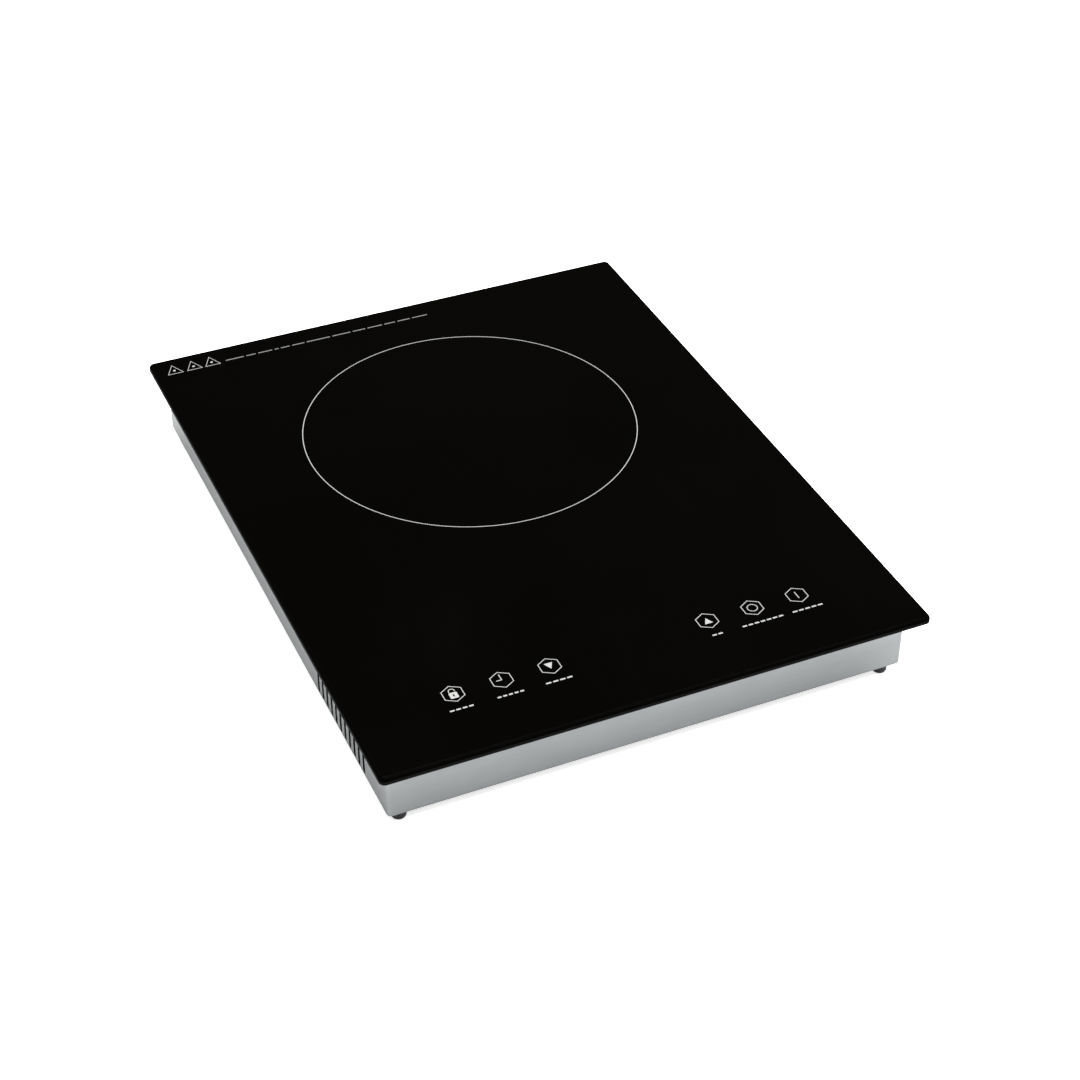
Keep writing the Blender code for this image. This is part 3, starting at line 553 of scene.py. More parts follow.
def side_slots():
    """Eleven vent slots through each side wall, near the front."""
    count, pitch, width, mid_y = 11, 6.62 * MM, 2.9 * MM, -116.2 * MM
    low, high = CASE_LOW.z + 2.2 * MM, CASE_LOW.z + 28 * MM
    cutters = []
    for wall_x in (CASE_LOW.x + SHEET_T / 2, CASE_HIGH.x - SHEET_T / 2):
        for i in range(count):
            slot = prism(stadium(high - low, width), -2 * SHEET_T, 2 * SHEET_T)
            swung(slot, "X", 90)
            swung(slot, "Z", 90)
            y = mid_y + (i - (count - 1) / 2) * pitch
            cutters.append(moved(slot, (wall_x, y, (low + high) / 2)))
    return cutters


def floor_openings():
    """Grille under the blower, screw holes and foot holes."""
    floor = (CASE_LOW.z - SHEET_T, CASE_LOW.z + 2 * SHEET_T)
    reach, pitch, width = 30 * MM, 6 * MM, 3.2 * MM
    screw_r, foot_r = 1.8 * MM, 2.5 * MM
    cutters = []
    for i in range(-5, 6):
        length = 2 * math.sqrt(max(reach**2 - (i * pitch) ** 2, 0))
        if length > 3 * width:
            cutters.append(prism(stadium(length, width, (FAN[0] + i * pitch, FAN[1])), *floor))
    for name, radius in [(n, screw_r) for n in SCREWS] + [(n, foot_r) for n in FEET]:
        cutters.append(prism(circle(radius, middle(name), 24), *floor))
    return cutters


def middle(node):
    """Plan centre of a CAD node."""
    low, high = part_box(node)
    return ((low.x + high.x) / 2, (low.y + high.y) / 2)


SCREWS = [f"tray_screw_{i}" for i in (1, 2, 3, 4)] + [f"fan_screw_{i}" for i in (1, 2, 3)]
FEET = [f"foot_{row}_{side}" for row in ("front", "rear") for side in ("left", "right")]


def folded_case():
    """Sheet-steel case: bent corners, a rim turned inwards, and cut edges in its openings painted
    dark as their shade.
    """
    size = CASE_HIGH - CASE_LOW
    flat, tightest, inlet_r = 6 * MM, 0.8 * MM, 8.3 * MM
    inner_r = CASE_EDGE_R - SHEET_T
    floor_z, rim_z = CASE_LOW.z + SHEET_T, CASE_HIGH.z
    profile = [(flat, floor_z)]
    profile += arc((CASE_EDGE_R, floor_z + inner_r), inner_r, -90, -180, 4)
    profile += [(SHEET_T, rim_z - SHEET_T), (RIM_W, rim_z - SHEET_T), (RIM_W, rim_z)]
    profile += arc((CASE_EDGE_R, rim_z - CASE_EDGE_R), CASE_EDGE_R, 90, 180, 6)
    profile += arc((CASE_EDGE_R, CASE_LOW.z + CASE_EDGE_R), CASE_EDGE_R, 180, 270, 6)
    profile.append((flat, CASE_LOW.z))
    loops = []
    for inset, z in profile:
        radius = max(CASE_CORNER_R - inset, tightest)
        outline = rounded_rect(size.x - 2 * inset, size.y - 2 * inset, radius, steps=8)
        loops.append(at(outline, z))
    case = made_object("folded_case", loft(loops), 40)
    for material in (STEEL, CUT_EDGE_SHADE):
        case.data.materials.append(material)
    inlet = prism(circle(inlet_r, steps=40), -2 * SHEET_T, 2 * SHEET_T)
    swung(inlet, "X", 90)
    x, z = inlet_centre()
    moved(inlet, (x, CASE_HIGH.y - SHEET_T / 2, z))
    # The cut faces take the near-black edge finish: painted shade inside the slots, grille, holes
    # and inlet.
    carve(case, joined(side_slots() + floor_openings() + [inlet]), angle=40, finish=1)
    eased(case, 0.06 * MM, 2, 50)
    flattened(case)
    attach(case, "hob")
    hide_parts("case_pan")


def inlet_centre():
    low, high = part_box("cable_grommet")
    return (low.x + high.x) / 2, (low.z + high.z) / 2


def rubber_feet():
    """Push-in feet: domed pad with a moulding lip, neck, and barb inside the floor."""
    for name in FEET:
        low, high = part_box(name)
        radius = (high.x - low.x) / 2
        pad_top = CASE_LOW.z - GAP
        barb = CASE_LOW.z + SHEET_T + GAP
        dome = 1.9 * MM
        profile = [(radius - 0.5 * MM - dome, 0.0)]
        profile += arc((radius - 0.35 * MM - dome, dome), dome, -88, 0, 8)
        profile += [(radius - 0.12 * MM, 4.6 * MM), (radius - 0.02 * MM, 4.8 * MM)]
        profile.append((radius, 5.0 * MM))
        profile += arc((radius - 0.6 * MM, pad_top - 0.6 * MM), 0.6 * MM, 0, 90, 5)
        profile += [(2.2 * MM, pad_top), (2.2 * MM, barb)]
        profile += arc((2.8 * MM, barb + 0.3 * MM), 0.3 * MM, -90, 0, 3)
        profile += [(3.1 * MM, barb + 0.8 * MM), (1.8 * MM, high.z - 0.2 * MM), (1.5 * MM, high.z)]
        shape = turned(profile, middle(name))
        piece(name.replace("foot", "rubber_foot"), shape, "black_rubber", [name])


def inlet_grommet():
    """Rubber bush with rounded lips in the cable inlet; the cable isn't part of the object."""
    bore, neck, lip_r, lip = 5 * MM, 8 * MM, 10.6 * MM, 2 * MM
    half = SHEET_T / 2 + GAP
    profile = arc((bore + 0.5 * MM, -half - lip + 0.5 * MM), 0.5 * MM, 180, 270, 4)
    profile += arc((lip_r - 1 * MM, -half - lip + 1 * MM), 1 * MM, -90, 0, 6)
    profile += [(lip_r, -half), (neck, -half), (neck, half), (lip_r, half)]
    profile += arc((lip_r - 1 * MM, half + lip - 1 * MM), 1 * MM, 0, 90, 6)
    profile += arc((bore + 0.5 * MM, half + lip - 0.5 * MM), 0.5 * MM, 90, 180, 4)
    bush = turned(profile, steps=64, ring=True)
    swung(bush, "X", -90)
    x, z = inlet_centre()
    moved(bush, (x, CASE_HIGH.y - SHEET_T / 2, z))
    piece("inlet_grommet", bush, "black_rubber", ["cable_grommet"])


def screws():
    """Pan-head screws under the floor: tapered cross recess, and rings for a thread."""
    pitch, depth = 0.4 * MM, 1.1 * MM
    wide = [(-1.7, -0.38), (1.7, -0.38), (1.7, 0.38), (-1.7, 0.38)]
    narrow = [(-0.8, -0.2), (0.8, -0.2), (0.8, 0.2), (-0.8, 0.2)]
    for name in SCREWS:
        low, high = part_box(name)
        head_top = CASE_LOW.z - GAP
        profile = [(1.2 * MM, low.z), (2.0 * MM, low.z + 0.12 * MM), (2.6 * MM, low.z + 0.5 * MM)]
        profile += [(2.92 * MM, low.z + 1.0 * MM), (3 * MM, head_top - 0.25 * MM)]
        profile += [(2.9 * MM, head_top), (1.3 * MM, head_top)]
        for i in range(int((high.z - head_top - pitch) / pitch)):
            z = head_top + 0.2 * MM + i * pitch
            profile += [(1.15 * MM, z), (1.4 * MM, z + 0.2 * MM)]
        profile.append((1.0 * MM, high.z))
        shape = turned(profile, middle(name), 32)
        screw = made_object(name.replace("_screw", "_fixing_screw"), shape, 30)
        x, y = middle(name)
        for angle in (0, 90):
            loops = []
            for outline, z in ((wide, low.z - 0.2 * MM), (narrow, low.z + depth)):
                loops.append([(px * MM, py * MM, z) for px, py in outline])
            recess = moved(swung(loft(loops), "Z", angle + 20), (x, y, 0))
            carve(screw, recess, angle=30)
        piece(screw.name, screw, "screw_steel", [name])


# ---------------------------------------------------------------- print on the plate

INK_LOW = TOP_Z - 0.02 * MM
INK_HIGH = TOP_Z + 0.02 * MM
KEY_Y = -151.3 * MM
KEY_SPREAD, KEY_SHIFT = 0.995, 0.27 * MM


def ink(outline):
    """Filled shape of printed enamel."""
    return prism(outline, INK_LOW, INK_HIGH)


def ink_band(outer, inner):
    return hoop(outer, inner, INK_LOW, INK_HIGH)


def print_mark(name, shapes, material=ENAMEL):
    piece(name, joined(shapes), "white_plastic", material=material)


def hexagon(centre):
    """Hexagon drawn as a line, its corners up and down."""
    radius, line = 5.98 * MM, 0.42 * MM
    half = line / 2 / math.cos(math.pi / 6)
    outer, inner = (arc(centre, reach, 90, 450, 6)[:-1] for reach in (radius + half, radius - half))
    return ink_band(outer, inner)


def bar(centre, width, height):
    """Small filled bar with rounded ends."""
    radius = min(width, height) * 0.3
    return ink(rounded_rect(width, height, radius, centre, 3))


def zone_mark():
    radius, line = 94.95 * MM, 0.45 * MM
    centre = (ZONE[0] - 0.25 * MM, ZONE[1] - 0.5 * MM)
    outer = circle(radius + line / 2, centre, 256)
    inner = circle(radius - line / 2, centre, 256)
    print_mark("zone_mark", [ink_band(outer, inner)])


def lock_symbol(x, y):
    """Padlock: filled body with a keyhole, open shackle above."""
    body_y = y - 1.2 * MM
    body = rounded_rect(4.3 * MM, 4.4 * MM, 0.6 * MM, (x, body_y), 4)
    hole = rounded_rect(0.8 * MM, 1.7 * MM, 0.39 * MM, (x, body_y), 4)
    foot = body_y + 2.2 * MM
    reach, line = 1.75 * MM, 0.45 * MM
    outer = arc((x, foot + 1.1 * MM), reach, 0, 180, 14)
    inner = arc((x, foot + 1.1 * MM), reach - line, 180, 0, 14)
    shackle = outer + [(x - reach, foot - 0.2 * MM), (x - reach + line, foot - 0.2 * MM)] + inner
    tip = foot + 0.6 * MM
    return [ink_band(body, hole), ink(shackle + [(x + reach - line, tip), (x + reach, tip)])]


def clock_symbol(x, y):
    """Two clock hands."""
    line = 0.5 * MM
    return [ink([
        (x - line / 2, y + 4.2 * MM), (x - line / 2, y + line / 2), (x - 2.9 * MM, y + line / 2),
        (x - 2.9 * MM, y - line / 2), (x + line / 2, y - line / 2), (x + line / 2, y + 4.2 * MM),
    ])]


def down_symbol(x, y):
    return [ink([(x - 2.3 * MM, y + 2.4 * MM), (x, y - 2.2 * MM), (x + 2.3 * MM, y + 2.4 * MM)])]


def up_symbol(x, y):
    return [ink([(x - 2.3 * MM, y - 2.3 * MM), (x + 2.3 * MM, y - 2.3 * MM), (x, y + 2.1 * MM)])]


def ring_symbol(x, y):
    return [ink_band(circle(2.9 * MM, (x, y)), circle(2.45 * MM, (x, y)))]


def bar_symbol(x, y):
    return [bar((x, y), 0.5 * MM, 5.3 * MM)]


def touch_key_marks():
    """Six hexagons with their symbols, and a row of plain dashes in place of each caption."""
    symbols = (lock_symbol, clock_symbol, down_symbol, up_symbol, ring_symbol, bar_symbol)
    captions = ((4, 13.4), (5, 15.0), (4, 15.1), (2, 6.7), (7, 24.2), (5, 18.3))
    for i, (spot, symbol, (count, width)) in enumerate(zip(KEYS, symbols, captions)):
        x = round(spot.x / MM) * KEY_SPREAD * MM - KEY_SHIFT
        print_mark(f"key_mark_{i + 1}", [hexagon((x, KEY_Y))] + symbol(x, KEY_Y))
        pitch = width * MM / count
        dashes = []
        for j in range(count):
            centre = (x + (j - (count - 1) / 2) * pitch, KEY_Y - 11.6 * MM)
            dashes.append(bar(centre, pitch - 0.9 * MM, 1.0 * MM))
        print_mark(f"key_dashes_{i + 1}", dashes)


def rear_marks():
    """Three plain triangles and a line of dashes along the rear edge."""
    base, top, half = 177.9 * MM, 187.4 * MM, 4.8 * MM
    for i, x in enumerate((-137.7, -126.0, -114.9)):
        x *= MM
        outer = [(x - half, base), (x + half, base), (x, top)]
        centre = Vector((x, base + (top - base) * 0.36))
        inner = [tuple(centre + (Vector(p) - centre) * 0.885) for p in outer]
        shapes = [ink_band(outer, inner), ink(circle(0.8 * MM, tuple(centre), 24))]
        print_mark(f"triangle_mark_{i + 1}", shapes)
    widths = (11.3, 5.9, 8.7, 2.4, 5.6, 7.7, 14.7, 11.6, 8.0, 9.3, 7.0, 8.0, 9.7)
    x, length = -106.7, 128.0
    gap = (length - sum(widths)) / (len(widths) - 1)
    dashes = []
    for width in widths:
        dashes.append(bar(((x + width / 2) * MM, 179.7 * MM), width * MM, 0.8 * MM))
        x += width + gap
    print_mark("rear_dashes", dashes, ENAMEL_DULL)


# ---------------------------------------------------------------- coil and blower


def coil_winding():
    """Flat spiral of one litz bundle."""
    low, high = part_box("induction_coil")
    depth, mid = high.z - low.z, (low.z + high.z) / 2
    outer, inner, turns, per_turn = (high.x - low.x) / 2, 20 * MM, 13, 72
    pitch = (outer - inner) / (turns + 1)
    radius = min(depth, pitch) / 2 - 0.05 * MM
    points = []
    for i in range(turns * per_turn + 1):
        angle = 2 * math.pi * i / per_turn
        reach = inner + pitch / 2 + pitch * i / per_turn
        x, y = ZONE[0] + reach * math.cos(angle), ZONE[1] + reach * math.sin(angle)
        points.append((x, y, mid))
    wire_piece("coil_winding", points, radius, 12, "copper_litz", ["induction_coil"])


def blade(angle, low, high):
    """One forward-curved blade of even thickness."""
    inner, outer, sweep, half, steps = 27 * MM, 36.8 * MM, 12, 0.4 * MM, 8
    front, back = [], []
    for i in range(steps + 1):
        t = i / steps
        radius = inner + (outer - inner) * t
        turn = math.radians(angle + sweep * t**2)
        along = Vector((math.cos(turn), math.sin(turn)))
        side = Vector((-along.y, along.x)) * half
        point = Vector(FAN) + along * radius
        front.append(tuple(point + side))
        back.append(tuple(point - side))
    return prism(front + back[::-1], low, high)


def blower_rotor():
    """Impeller: domed hub cup, shaft, back plate, curved blades and a stiffening ring."""
    low, high = ROTOR_LOW.z, ROTOR_HIGH.z
    shaft, cup, radius, top = 1.5 * MM, 13.5 * MM, 37 * MM, 26.5 * MM
    plate_low, cup_floor = top - 1.2 * MM, low + 1.4 * MM
    profile = [(1.4 * MM, high), (shaft, high - 0.2 * MM), (shaft, cup_floor)]
    profile += [(cup, cup_floor), (cup, top), (radius - 0.2 * MM, top), (radius, top - 0.2 * MM)]
    profile += [(radius, plate_low), (15 * MM, plate_low)]
    profile += arc((cup, low + 1.5 * MM), 1.5 * MM, 0, -90, 6)
    profile += [(6 * MM, low), (5.6 * MM, low + 0.4 * MM), (2 * MM, low + 0.4 * MM)]
    rotor = made_object("blower_rotor", turned(profile, FAN, 96), 35)
    blades = [blade(18 * i, low + 0.6 * MM, plate_low + 0.6 * MM) for i in range(20)]
    ring = hoop(circle(radius, FAN, 96), circle(33 * MM, FAN, 96), low, low + 1.2 * MM)
    carve(rotor, joined(blades), "UNION")
    carve(rotor, ring, "UNION")
    eased(rotor, 0.12 * MM, 1, 60)
    piece("blower_rotor", rotor, "grey_plastic", ["fan_rotor"], body="fan")


def round_springs():
    """Round wire springs with closed end coils, under the tray and under the keys."""
    rows = [(f"tray_spring_{i}", 0.6 * MM, 4 * MM, 4 * MM, 5.5) for i in (1, 2, 3, 4)]
    rows += [(f"touch_spring_{i}", 0.4 * MM, 2.6 * MM, 4.4 * MM, 3.5) for i in range(1, 7)]
    for name, wire_r, low_r, high_r, turns in rows:
        low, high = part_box(name)
        x, y = middle(name)
        steps = int(turns * 28)
        points = []
        for i in range(steps + 1):
            t = i / steps
            ease = min(max((t * turns - 0.8) / (turns - 1.6), 0), 1)
            rise = 0.85 * ease + 0.15 * t
            reach = low_r + (high_r - low_r) * t
            angle = 2 * math.pi * turns * t
            z = low.z + wire_r + (high.z - low.z - 2 * wire_r) * rise
            points.append((x + reach * math.cos(angle), y + reach * math.sin(angle), z))
        spring = name.replace("spring", "coil_spring")
        wire_piece(spring, points, wire_r, 10, "spring_steel", [name])


# ---------------------------------------------------------------- small parts inside


def moulding(name, centre, size, base, slot, radius=0.8, edge=0.3):
    """Block with rounded corners and eased edges; sizes in mm, its foot at height base."""
    width, depth, height = size
    spot = tuple(v * MM for v in centre)
    outline = rounded_rect(width * MM, depth * MM, radius * MM, spot, 4)
    shape = made_object(name, prism(outline, base, base + height * MM), 35)
    piece(name, eased(shape, edge * MM), slot)


def standing_can(name, centre, radius, height):
    """Electrolytic capacitor: sleeve with a crimped waist and a bare recessed lid."""
    x, y, low = centre
    top = low + height
    profile = [(radius - 0.4 * MM, low), (radius, low + 0.5 * MM), (radius, low + 1.6 * MM)]
    profile += [(radius - 0.35 * MM, low + 2.1 * MM), (radius, low + 2.6 * MM)]
    profile += [(radius, top - 0.5 * MM), (radius - 0.4 * MM, top), (radius - 0.9 * MM, top)]
    profile.append((radius - 1.0 * MM, top - 0.3 * MM))
    piece(name, turned(profile, (x, y), 40), "capacitor_blue")


def lying_resistor(name, centre, length, radius):
    """Axial part with swollen ends on two bent legs."""
    x, y, low = centre
    half, mid = length / 2, low + radius + 0.5 * MM
    waist = radius * 0.84
    profile = [(0.4 * MM, -half), (radius, -half + 0.3 * MM), (radius, -half + 1.4 * MM)]
    profile += [(waist, -half + 1.9 * MM), (waist, half - 1.9 * MM)]
    profile += [(radius, half - 1.4 * MM), (radius, half - 0.3 * MM), (0.4 * MM, half)]
    body = moved(swung(turned(profile, steps=24), "X", 90), (x, y, mid))
    piece(name, body, "mica")
    for end, side in (("near", -1), ("far", 1)):
        reach = y + side * (half + 1.6 * MM)
        route = [(x, y + side * (half - 0.2 * MM), mid), (x, reach - side * 0.4 * MM, mid)]
        route += [(x, reach, mid - 0.4 * MM), (x, reach, low)]
        wire_piece(f"{name}_leg_{end}", route, 0.3 * MM, 8, "screw_steel")


def package_legs(name, xs, edge_y, mid_z, board_z):
    """Flat package's row of legs, bent down to the board."""
    for i, x in enumerate(xs):
        route = [(x, edge_y + 0.4 * MM, mid_z), (x, edge_y - 1.8 * MM, mid_z)]
        route += [(x, edge_y - 2.4 * MM, mid_z - 0.6 * MM), (x, edge_y - 2.4 * MM, board_z)]
        wire_piece(f"{name}_{i + 1}", route, 0.45 * MM, 8, "screw_steel")


def inner_leads():
    """Round sheathed leads between the coil, the sensor, the inlet, the blower and the board."""
    def down_to_board(x, y):
        return [(x, y, 20.9), (x, y, 17.9), (x, y, 14.9)]

    inner = [(19.2, 58.5, 37.65), (14, 57.5, 36.65), (11.6, 56.9, 30.7), (11, 52.5, 24.7),
             (10, 28.5, 20.7), (8, 0, 20.7), (4, -38, 23.7), (2, -50, 22.7)]
    outer = [(-18, -23.1, 37.65), (-18, -32.5, 34.65), (-18, -42, 29), (-18, -51, 25)]
    sensor = [(-7, 58.5, 25.3), (-10, 48.5, 21.7), (-22, -1.5, 19.7), (-30, -30, 22),
              (-28, -50, 23)]
    mains = [(100, 141.4, 13), (100.6, 135, 12.8), (112, 112, 12), (118, 60, 11), (108, 0, 11),
             (80, -36, 14), (46, -46, 23), (32, -51, 25)]
    fan = [(62, -56.6, 26), (54, -54, 26), (40, -60, 26), (32, -66, 24)]
    rows = (
        ("coil_lead_inner", inner, (2, -54), 1.5, "cable_red"),
        ("coil_lead_outer", outer, (-18, -54), 1.5, "cable_red"),
        ("sensor_lead", sensor, (-28, -54), 0.9, "cable_white"),
        ("mains_lead", mains, (28, -54), 2.4, "cable_black"),
        ("fan_lead", fan, (30, -66), 0.9, "cable_black"),
    )
    for node, points, landing, radius, slot in rows:
        route = smooth_route([Vector(p) * MM for p in points + down_to_board(*landing)])
        wire_piece(f"round_{node}", route, radius * MM, 16, slot, [node])


def housing_ribs():
    """Stiffening ring, motor boss and spokes moulded on the blower housing's roof."""
    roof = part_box("fan_housing")[1].z - 0.05 * MM
    top = roof + 0.9 * MM
    ribs = [hoop(circle(39 * MM, FAN, 96), circle(37.6 * MM, FAN, 96), roof, top)]
    ribs.append(hoop(circle(15 * MM, FAN, 64), circle(13.4 * MM, FAN, 64), roof, top))
    for i in range(8):
        spoke = prism(rounded_rect(22.2 * MM, 1.2 * MM, 0.3 * MM, (26.3 * MM, 0), 2), roof, top)
        ribs.append(moved(swung(spoke, "Z", 45 * i + 22.5), (*FAN, 0)))
    piece("fan_housing_ribs", joined(ribs), "black_plastic")


def board_parts():
    """What the power board and the touch board carry besides their main parts."""
    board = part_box("power_board")[1].z
    for i in range(6):
        centre = ((-60 + 9 * i) * MM, -158 * MM, board)
        lying_resistor(f"board_resistor_{i + 1}", centre, 6.4 * MM, 1.2 * MM)
    for i, y in enumerate((-112, -98)):
        standing_can(f"board_electrolytic_{i + 1}", (-104 * MM, y * MM, board), 5 * MM, 13 * MM)
    moulding("board_transformer_core", (-100, -146), (17, 6, 13), board, "ferrite")
    moulding("board_transformer_coil", (-100, -146), (12, 13, 10), board + 1.5 * MM, "copper_wire",
             3, 1)
    moulding("board_relay", (-16, -74), (15, 11, 12), board, "component_black")
    moulding("board_chip", (8, -158), (11, 6.4, 1.9), board + 0.3 * MM, "component_black", 0.3, 0.2)
    for side, y in (("near", -161.2), ("far", -154.8)):
        legs = []
        for i in range(7):
            foot = rounded_rect(0.5 * MM, 1.8 * MM, 0.1 * MM, ((3.8 + 1.4 * i) * MM, y * MM), 2)
            legs.append(prism(foot, board, board + 0.9 * MM))
        piece(f"board_chip_legs_{side}", joined(legs), "screw_steel")
    low, high = -81 * MM, -63 * MM
    glass, cap = 2.1 * MM, 2.4 * MM
    profile = [(1.2 * MM, low), (cap, low + 0.2 * MM), (cap, low + 4 * MM)]
    profile += [(glass, low + 4.1 * MM), (glass, high - 4.1 * MM), (cap, high - 4 * MM)]
    profile += [(cap, high - 0.2 * MM), (1.2 * MM, high)]
    fuse = moved(swung(turned(profile, steps=28), "X", -90), (-71 * MM, 0, board + 3.2 * MM))
    piece("board_fuse", fuse, "white_plastic")
    for i, y in enumerate((-79, -65)):
        name = f"board_fuse_clip_{i + 1}"
        moulding(name, (-71, y), (5.8, 2.2, 3.4), board, "screw_steel", 0.3, 0.2)
    header = (-90 * MM, -125 * MM)
    outer = rounded_rect(20 * MM, 6 * MM, 0.6 * MM, header, 3)
    inner = rounded_rect(17 * MM, 1.8 * MM, 0.6 * MM, header, 3)
    piece("board_ribbon_header", hoop(outer, inner, board, board + 5 * MM), "white_plastic")

    for node, offsets, name in (("igbt_transistor", (-5, 0, 5), "igbt_leg"),
                                ("bridge_rectifier", (-10.5, -3.5, 3.5, 10.5), "bridge_leg")):
        low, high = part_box(node)
        xs = [(low.x + high.x) / 2 + x * MM for x in offsets]
        package_legs(name, xs, low.y, (low.z + high.z) / 2, board)

    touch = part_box("control_board")[1].z
    moulding("touch_chip", (-33, -158), (9, 9, 1.4), touch, "component_black", 0.3, 0.2)
    moulding("display_driver_chip", (33, -158), (7, 5, 1.4), touch, "component_black", 0.3, 0.2)
    moulding("touch_ribbon_socket", (-90, -135.5), (20, 5, 3.6), touch, "white_plastic", 0.4)


def choke_turns():
    """Toroidal choke: ferrite ring with one layer of enamelled wire."""
    low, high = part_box("filter_choke")
    x, y = middle("filter_choke")
    mid, tube_r = (low.z + high.z) / 2, (high.z - low.z) / 2
    ring_r = (high.x - low.x) / 2 - tube_r
    core_r, wire_r = tube_r - 1.3 * MM, 0.55 * MM
    section = rounded_rect(2 * core_r, 2 * core_r, 1.2 * MM, steps=4)
    profile = [(ring_r + px, mid + pz) for px, pz in section]
    piece("choke_core", turned(profile, (x, y), 64, ring=True), "ferrite")
    turns, per_turn, share = 30, 16, 0.93
    points = []
    for i in range(turns * per_turn + 1):
        small = 2 * math.pi * i / per_turn
        large = 2 * math.pi * share * i / (turns * per_turn) + math.radians(102)
        reach = ring_r + (tube_r - wire_r) * math.cos(small)
        height = mid + (tube_r - wire_r) * math.sin(small)
        points.append((x + reach * math.cos(large), y + reach * math.sin(large), height))
    wire_piece("choke_winding", points, wire_r, 8, "copper_wire", ["filter_choke"])


def terminal_clamps():
    """Slotted clamp screws down in the terminal wells."""
    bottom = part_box("terminal_block")[0].z + 7 * MM
    x, y = middle("terminal_block")
    profile = [(2.6 * MM, bottom - 0.2 * MM), (2.7 * MM, bottom + 1.8 * MM)]
    profile.append((2.4 * MM, bottom + 2.1 * MM))
    for i, offset in enumerate((-13, 0, 13)):
        place = (x + offset * MM, y)
        clamp = made_object(f"terminal_clamp_{i + 1}", turned(profile, place, 32), 30)
        outline = rounded_rect(6 * MM, 0.8 * MM, 0.05 * MM, steps=1)
        slot = prism(outline, bottom + 1.1 * MM, bottom + 3 * MM)
        carve(clamp, moved(swung(slot, "Z", 25 + 40 * i), (*place, 0)), angle=30)
        piece(clamp.name, clamp, "screw_steel")


# ---------------------------------------------------------------- carried-over nodes


def smoothing():
    """Node group that merges a node's faces and shades it smooth up to its sharp edges."""
    tree = bpy.data.node_groups.new("smooth_by_angle", "GeometryNodeTree")
    tree.interface.new_socket("Geometry", in_out="INPUT", socket_type="NodeSocketGeometry")
    tree.interface.new_socket("Geometry", in_out="OUTPUT", socket_type="NodeSocketGeometry")
    new, link = tree.nodes.new, tree.links.new
    start, stop = new("NodeGroupInput"), new("NodeGroupOutput")
    bare = new("GeometryNodeRemoveAttribute")
    bare.inputs["Name"].default_value = "custom_normal"
    merge = new("GeometryNodeMergeByDistance")
    merge.inputs["Distance"].default_value = 0.002 * MM
    smooth = new("GeometryNodeSetShadeSmooth")
    edges = new("GeometryNodeSetShadeSmooth")
    edges.domain = "EDGE"
    edges.inputs["Shade Smooth"].default_value = False
    angle = new("GeometryNodeInputMeshEdgeAngle")
    test = new("FunctionNodeCompare")
    test.operation = "GREATER_THAN"
    test.inputs["B"].default_value = math.radians(35)
    link(start.outputs[0], bare.inputs["Geometry"])
    link(bare.outputs["Geometry"], merge.inputs["Geometry"])
    link(merge.outputs["Geometry"], smooth.inputs["Geometry"])
    link(smooth.outputs["Geometry"], edges.inputs["Geometry"])
    link(angle.outputs["Unsigned Angle"], test.inputs["A"])
    link(test.outputs["Result"], edges.inputs["Selection"])
    link(edges.outputs["Geometry"], stop.inputs[0])
    return tree


def dress_nodes():
    """Give every carried-over node its procedural finish and clean shading."""
    tree = smoothing()
    for node in frame["nodes"].values():
        for slot in node.material_slots:
            slot.material = FINISHES[slot.material.name.split(".")[0]]
        node.modifiers.new("smooth", "NODES").node_group = tree


# ---------------------------------------------------------------- studio

# The ring of light: strength, its share on the left and the right, and (height, level) stops.
RING_STRENGTH, RING_LEFT, RING_RIGHT = 8.2, 0.12, 1.8
RING_LEVELS = ((0.0, 0.0025), (0.74, 0.0025), (0.84, 1.0), (0.93, 1.0), (0.985, 0.01))
# The floor's glow: as light on the object, and as the camera sees it.
FLOOR_GLOW, FLOOR_GLOW_SEEN = 0.15, 0.75


def pale_floor():
    """Wide floor, clear from below. It glows more for camera rays, which pales its shadows."""
    floor = Finish("floor_pale", (0.86, 0.86, 0.86), 0.9, specular=0.1)
    seen = floor.node("ShaderNodeLightPath").outputs["Is Camera Ray"]
    glow = floor.span(seen, FLOOR_GLOW, FLOOR_GLOW_SEEN, 0.0, 1.0)
    floor.set(floor.shader, "Emission Color", (1, 1, 1, 1))
    floor.set(floor.shader, "Emission Strength", glow)
    floor.color(floor.noise(3, 2.0), [(0.3, (0.855, 0.855, 0.855)), (0.7, (0.865, 0.865, 0.865))])
    clear = floor.node("ShaderNodeBsdfTransparent")
    back = floor.node("ShaderNodeNewGeometry").outputs["Backfacing"]
    mix = floor.node("ShaderNodeMixShader", {
        "Fac": back, 1: floor.shader.outputs[0], 2: clear.outputs[0],
    })
    floor.set(floor.tree.nodes["Material Output"], "Surface", mix.outputs[0])
    sheet = bmesh.new()
    bmesh.ops.create_grid(sheet, x_segments=1, y_segments=1, size=40)
    ground = made_object("studio_floor", sheet, 35)
    ground.location.z = -0.02 * MM
    ground.data.materials.append(floor.material)


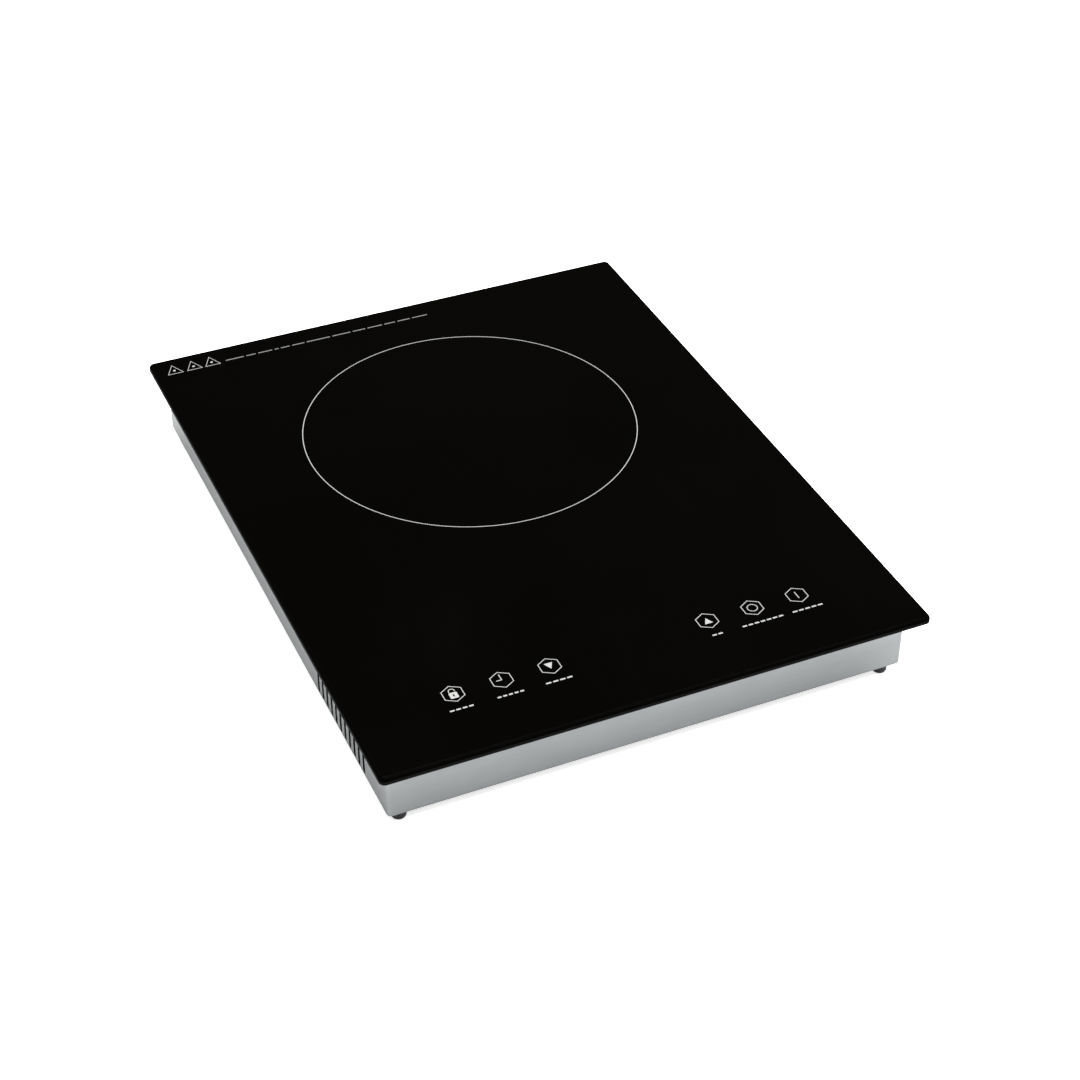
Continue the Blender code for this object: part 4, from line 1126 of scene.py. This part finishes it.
def soft_light():
    """High ring of soft light, stronger on the right, in surroundings the camera sees white."""
    world = bpy.data.worlds.new("studio")
    bpy.context.scene.world = world
    world.use_nodes = True
    tree = world.node_tree
    tree.nodes.clear()
    direction = add_node(tree, "ShaderNodeTexCoord").outputs["Generated"]
    split = add_node(tree, "ShaderNodeSeparateXYZ", {"Vector": direction})
    ring = add_node(tree, "ShaderNodeValToRGB", {"Fac": split.outputs["Z"]})
    fill_ramp(ring, [(position, (level, level, level)) for position, level in RING_LEVELS])
    side = add_node(tree, "ShaderNodeMapRange", {
        "Value": split.outputs["X"], "From Min": -0.6, "From Max": 0.6,
        "To Min": RING_LEFT * RING_STRENGTH, "To Max": RING_RIGHT * RING_STRENGTH,
    })
    lit = add_node(tree, "ShaderNodeBackground", {
        "Color": ring.outputs["Color"], "Strength": side.outputs["Result"],
    })
    seen = add_node(tree, "ShaderNodeBackground", {"Color": (1, 1, 1, 1), "Strength": 1.0})
    camera_ray = add_node(tree, "ShaderNodeLightPath").outputs["Is Camera Ray"]
    mix = add_node(tree, "ShaderNodeMixShader", {
        0: camera_ray, 1: lit.outputs[0], 2: seen.outputs[0],
    })
    add_node(tree, "ShaderNodeOutputWorld", {"Surface": mix.outputs[0]})


def photo_camera():
    """Camera above the front left corner, turned towards the object."""
    camera = bpy.data.cameras.new("camera")
    camera.lens = 75.68
    camera.sensor_width = 36
    camera.clip_start, camera.clip_end = 0.01, 100
    obj = bpy.data.objects.new("camera", camera)
    bpy.context.collection.objects.link(obj)
    obj.location = (-0.39460, -0.93168, 0.77922)
    obj.rotation_euler = [math.radians(v) for v in (52.576, -0.053, -23.823)]
    bpy.context.scene.camera = obj


photo_camera()
pale_floor()
soft_light()
bpy.context.scene.view_settings.view_transform = "Standard"
cooktop_plate()
folded_case()
rubber_feet()
inlet_grommet()
screws()
zone_mark()
touch_key_marks()
rear_marks()
coil_winding()
blower_rotor()
round_springs()
board_parts()
choke_turns()
terminal_clamps()
inner_leads()
housing_ribs()
dress_nodes()
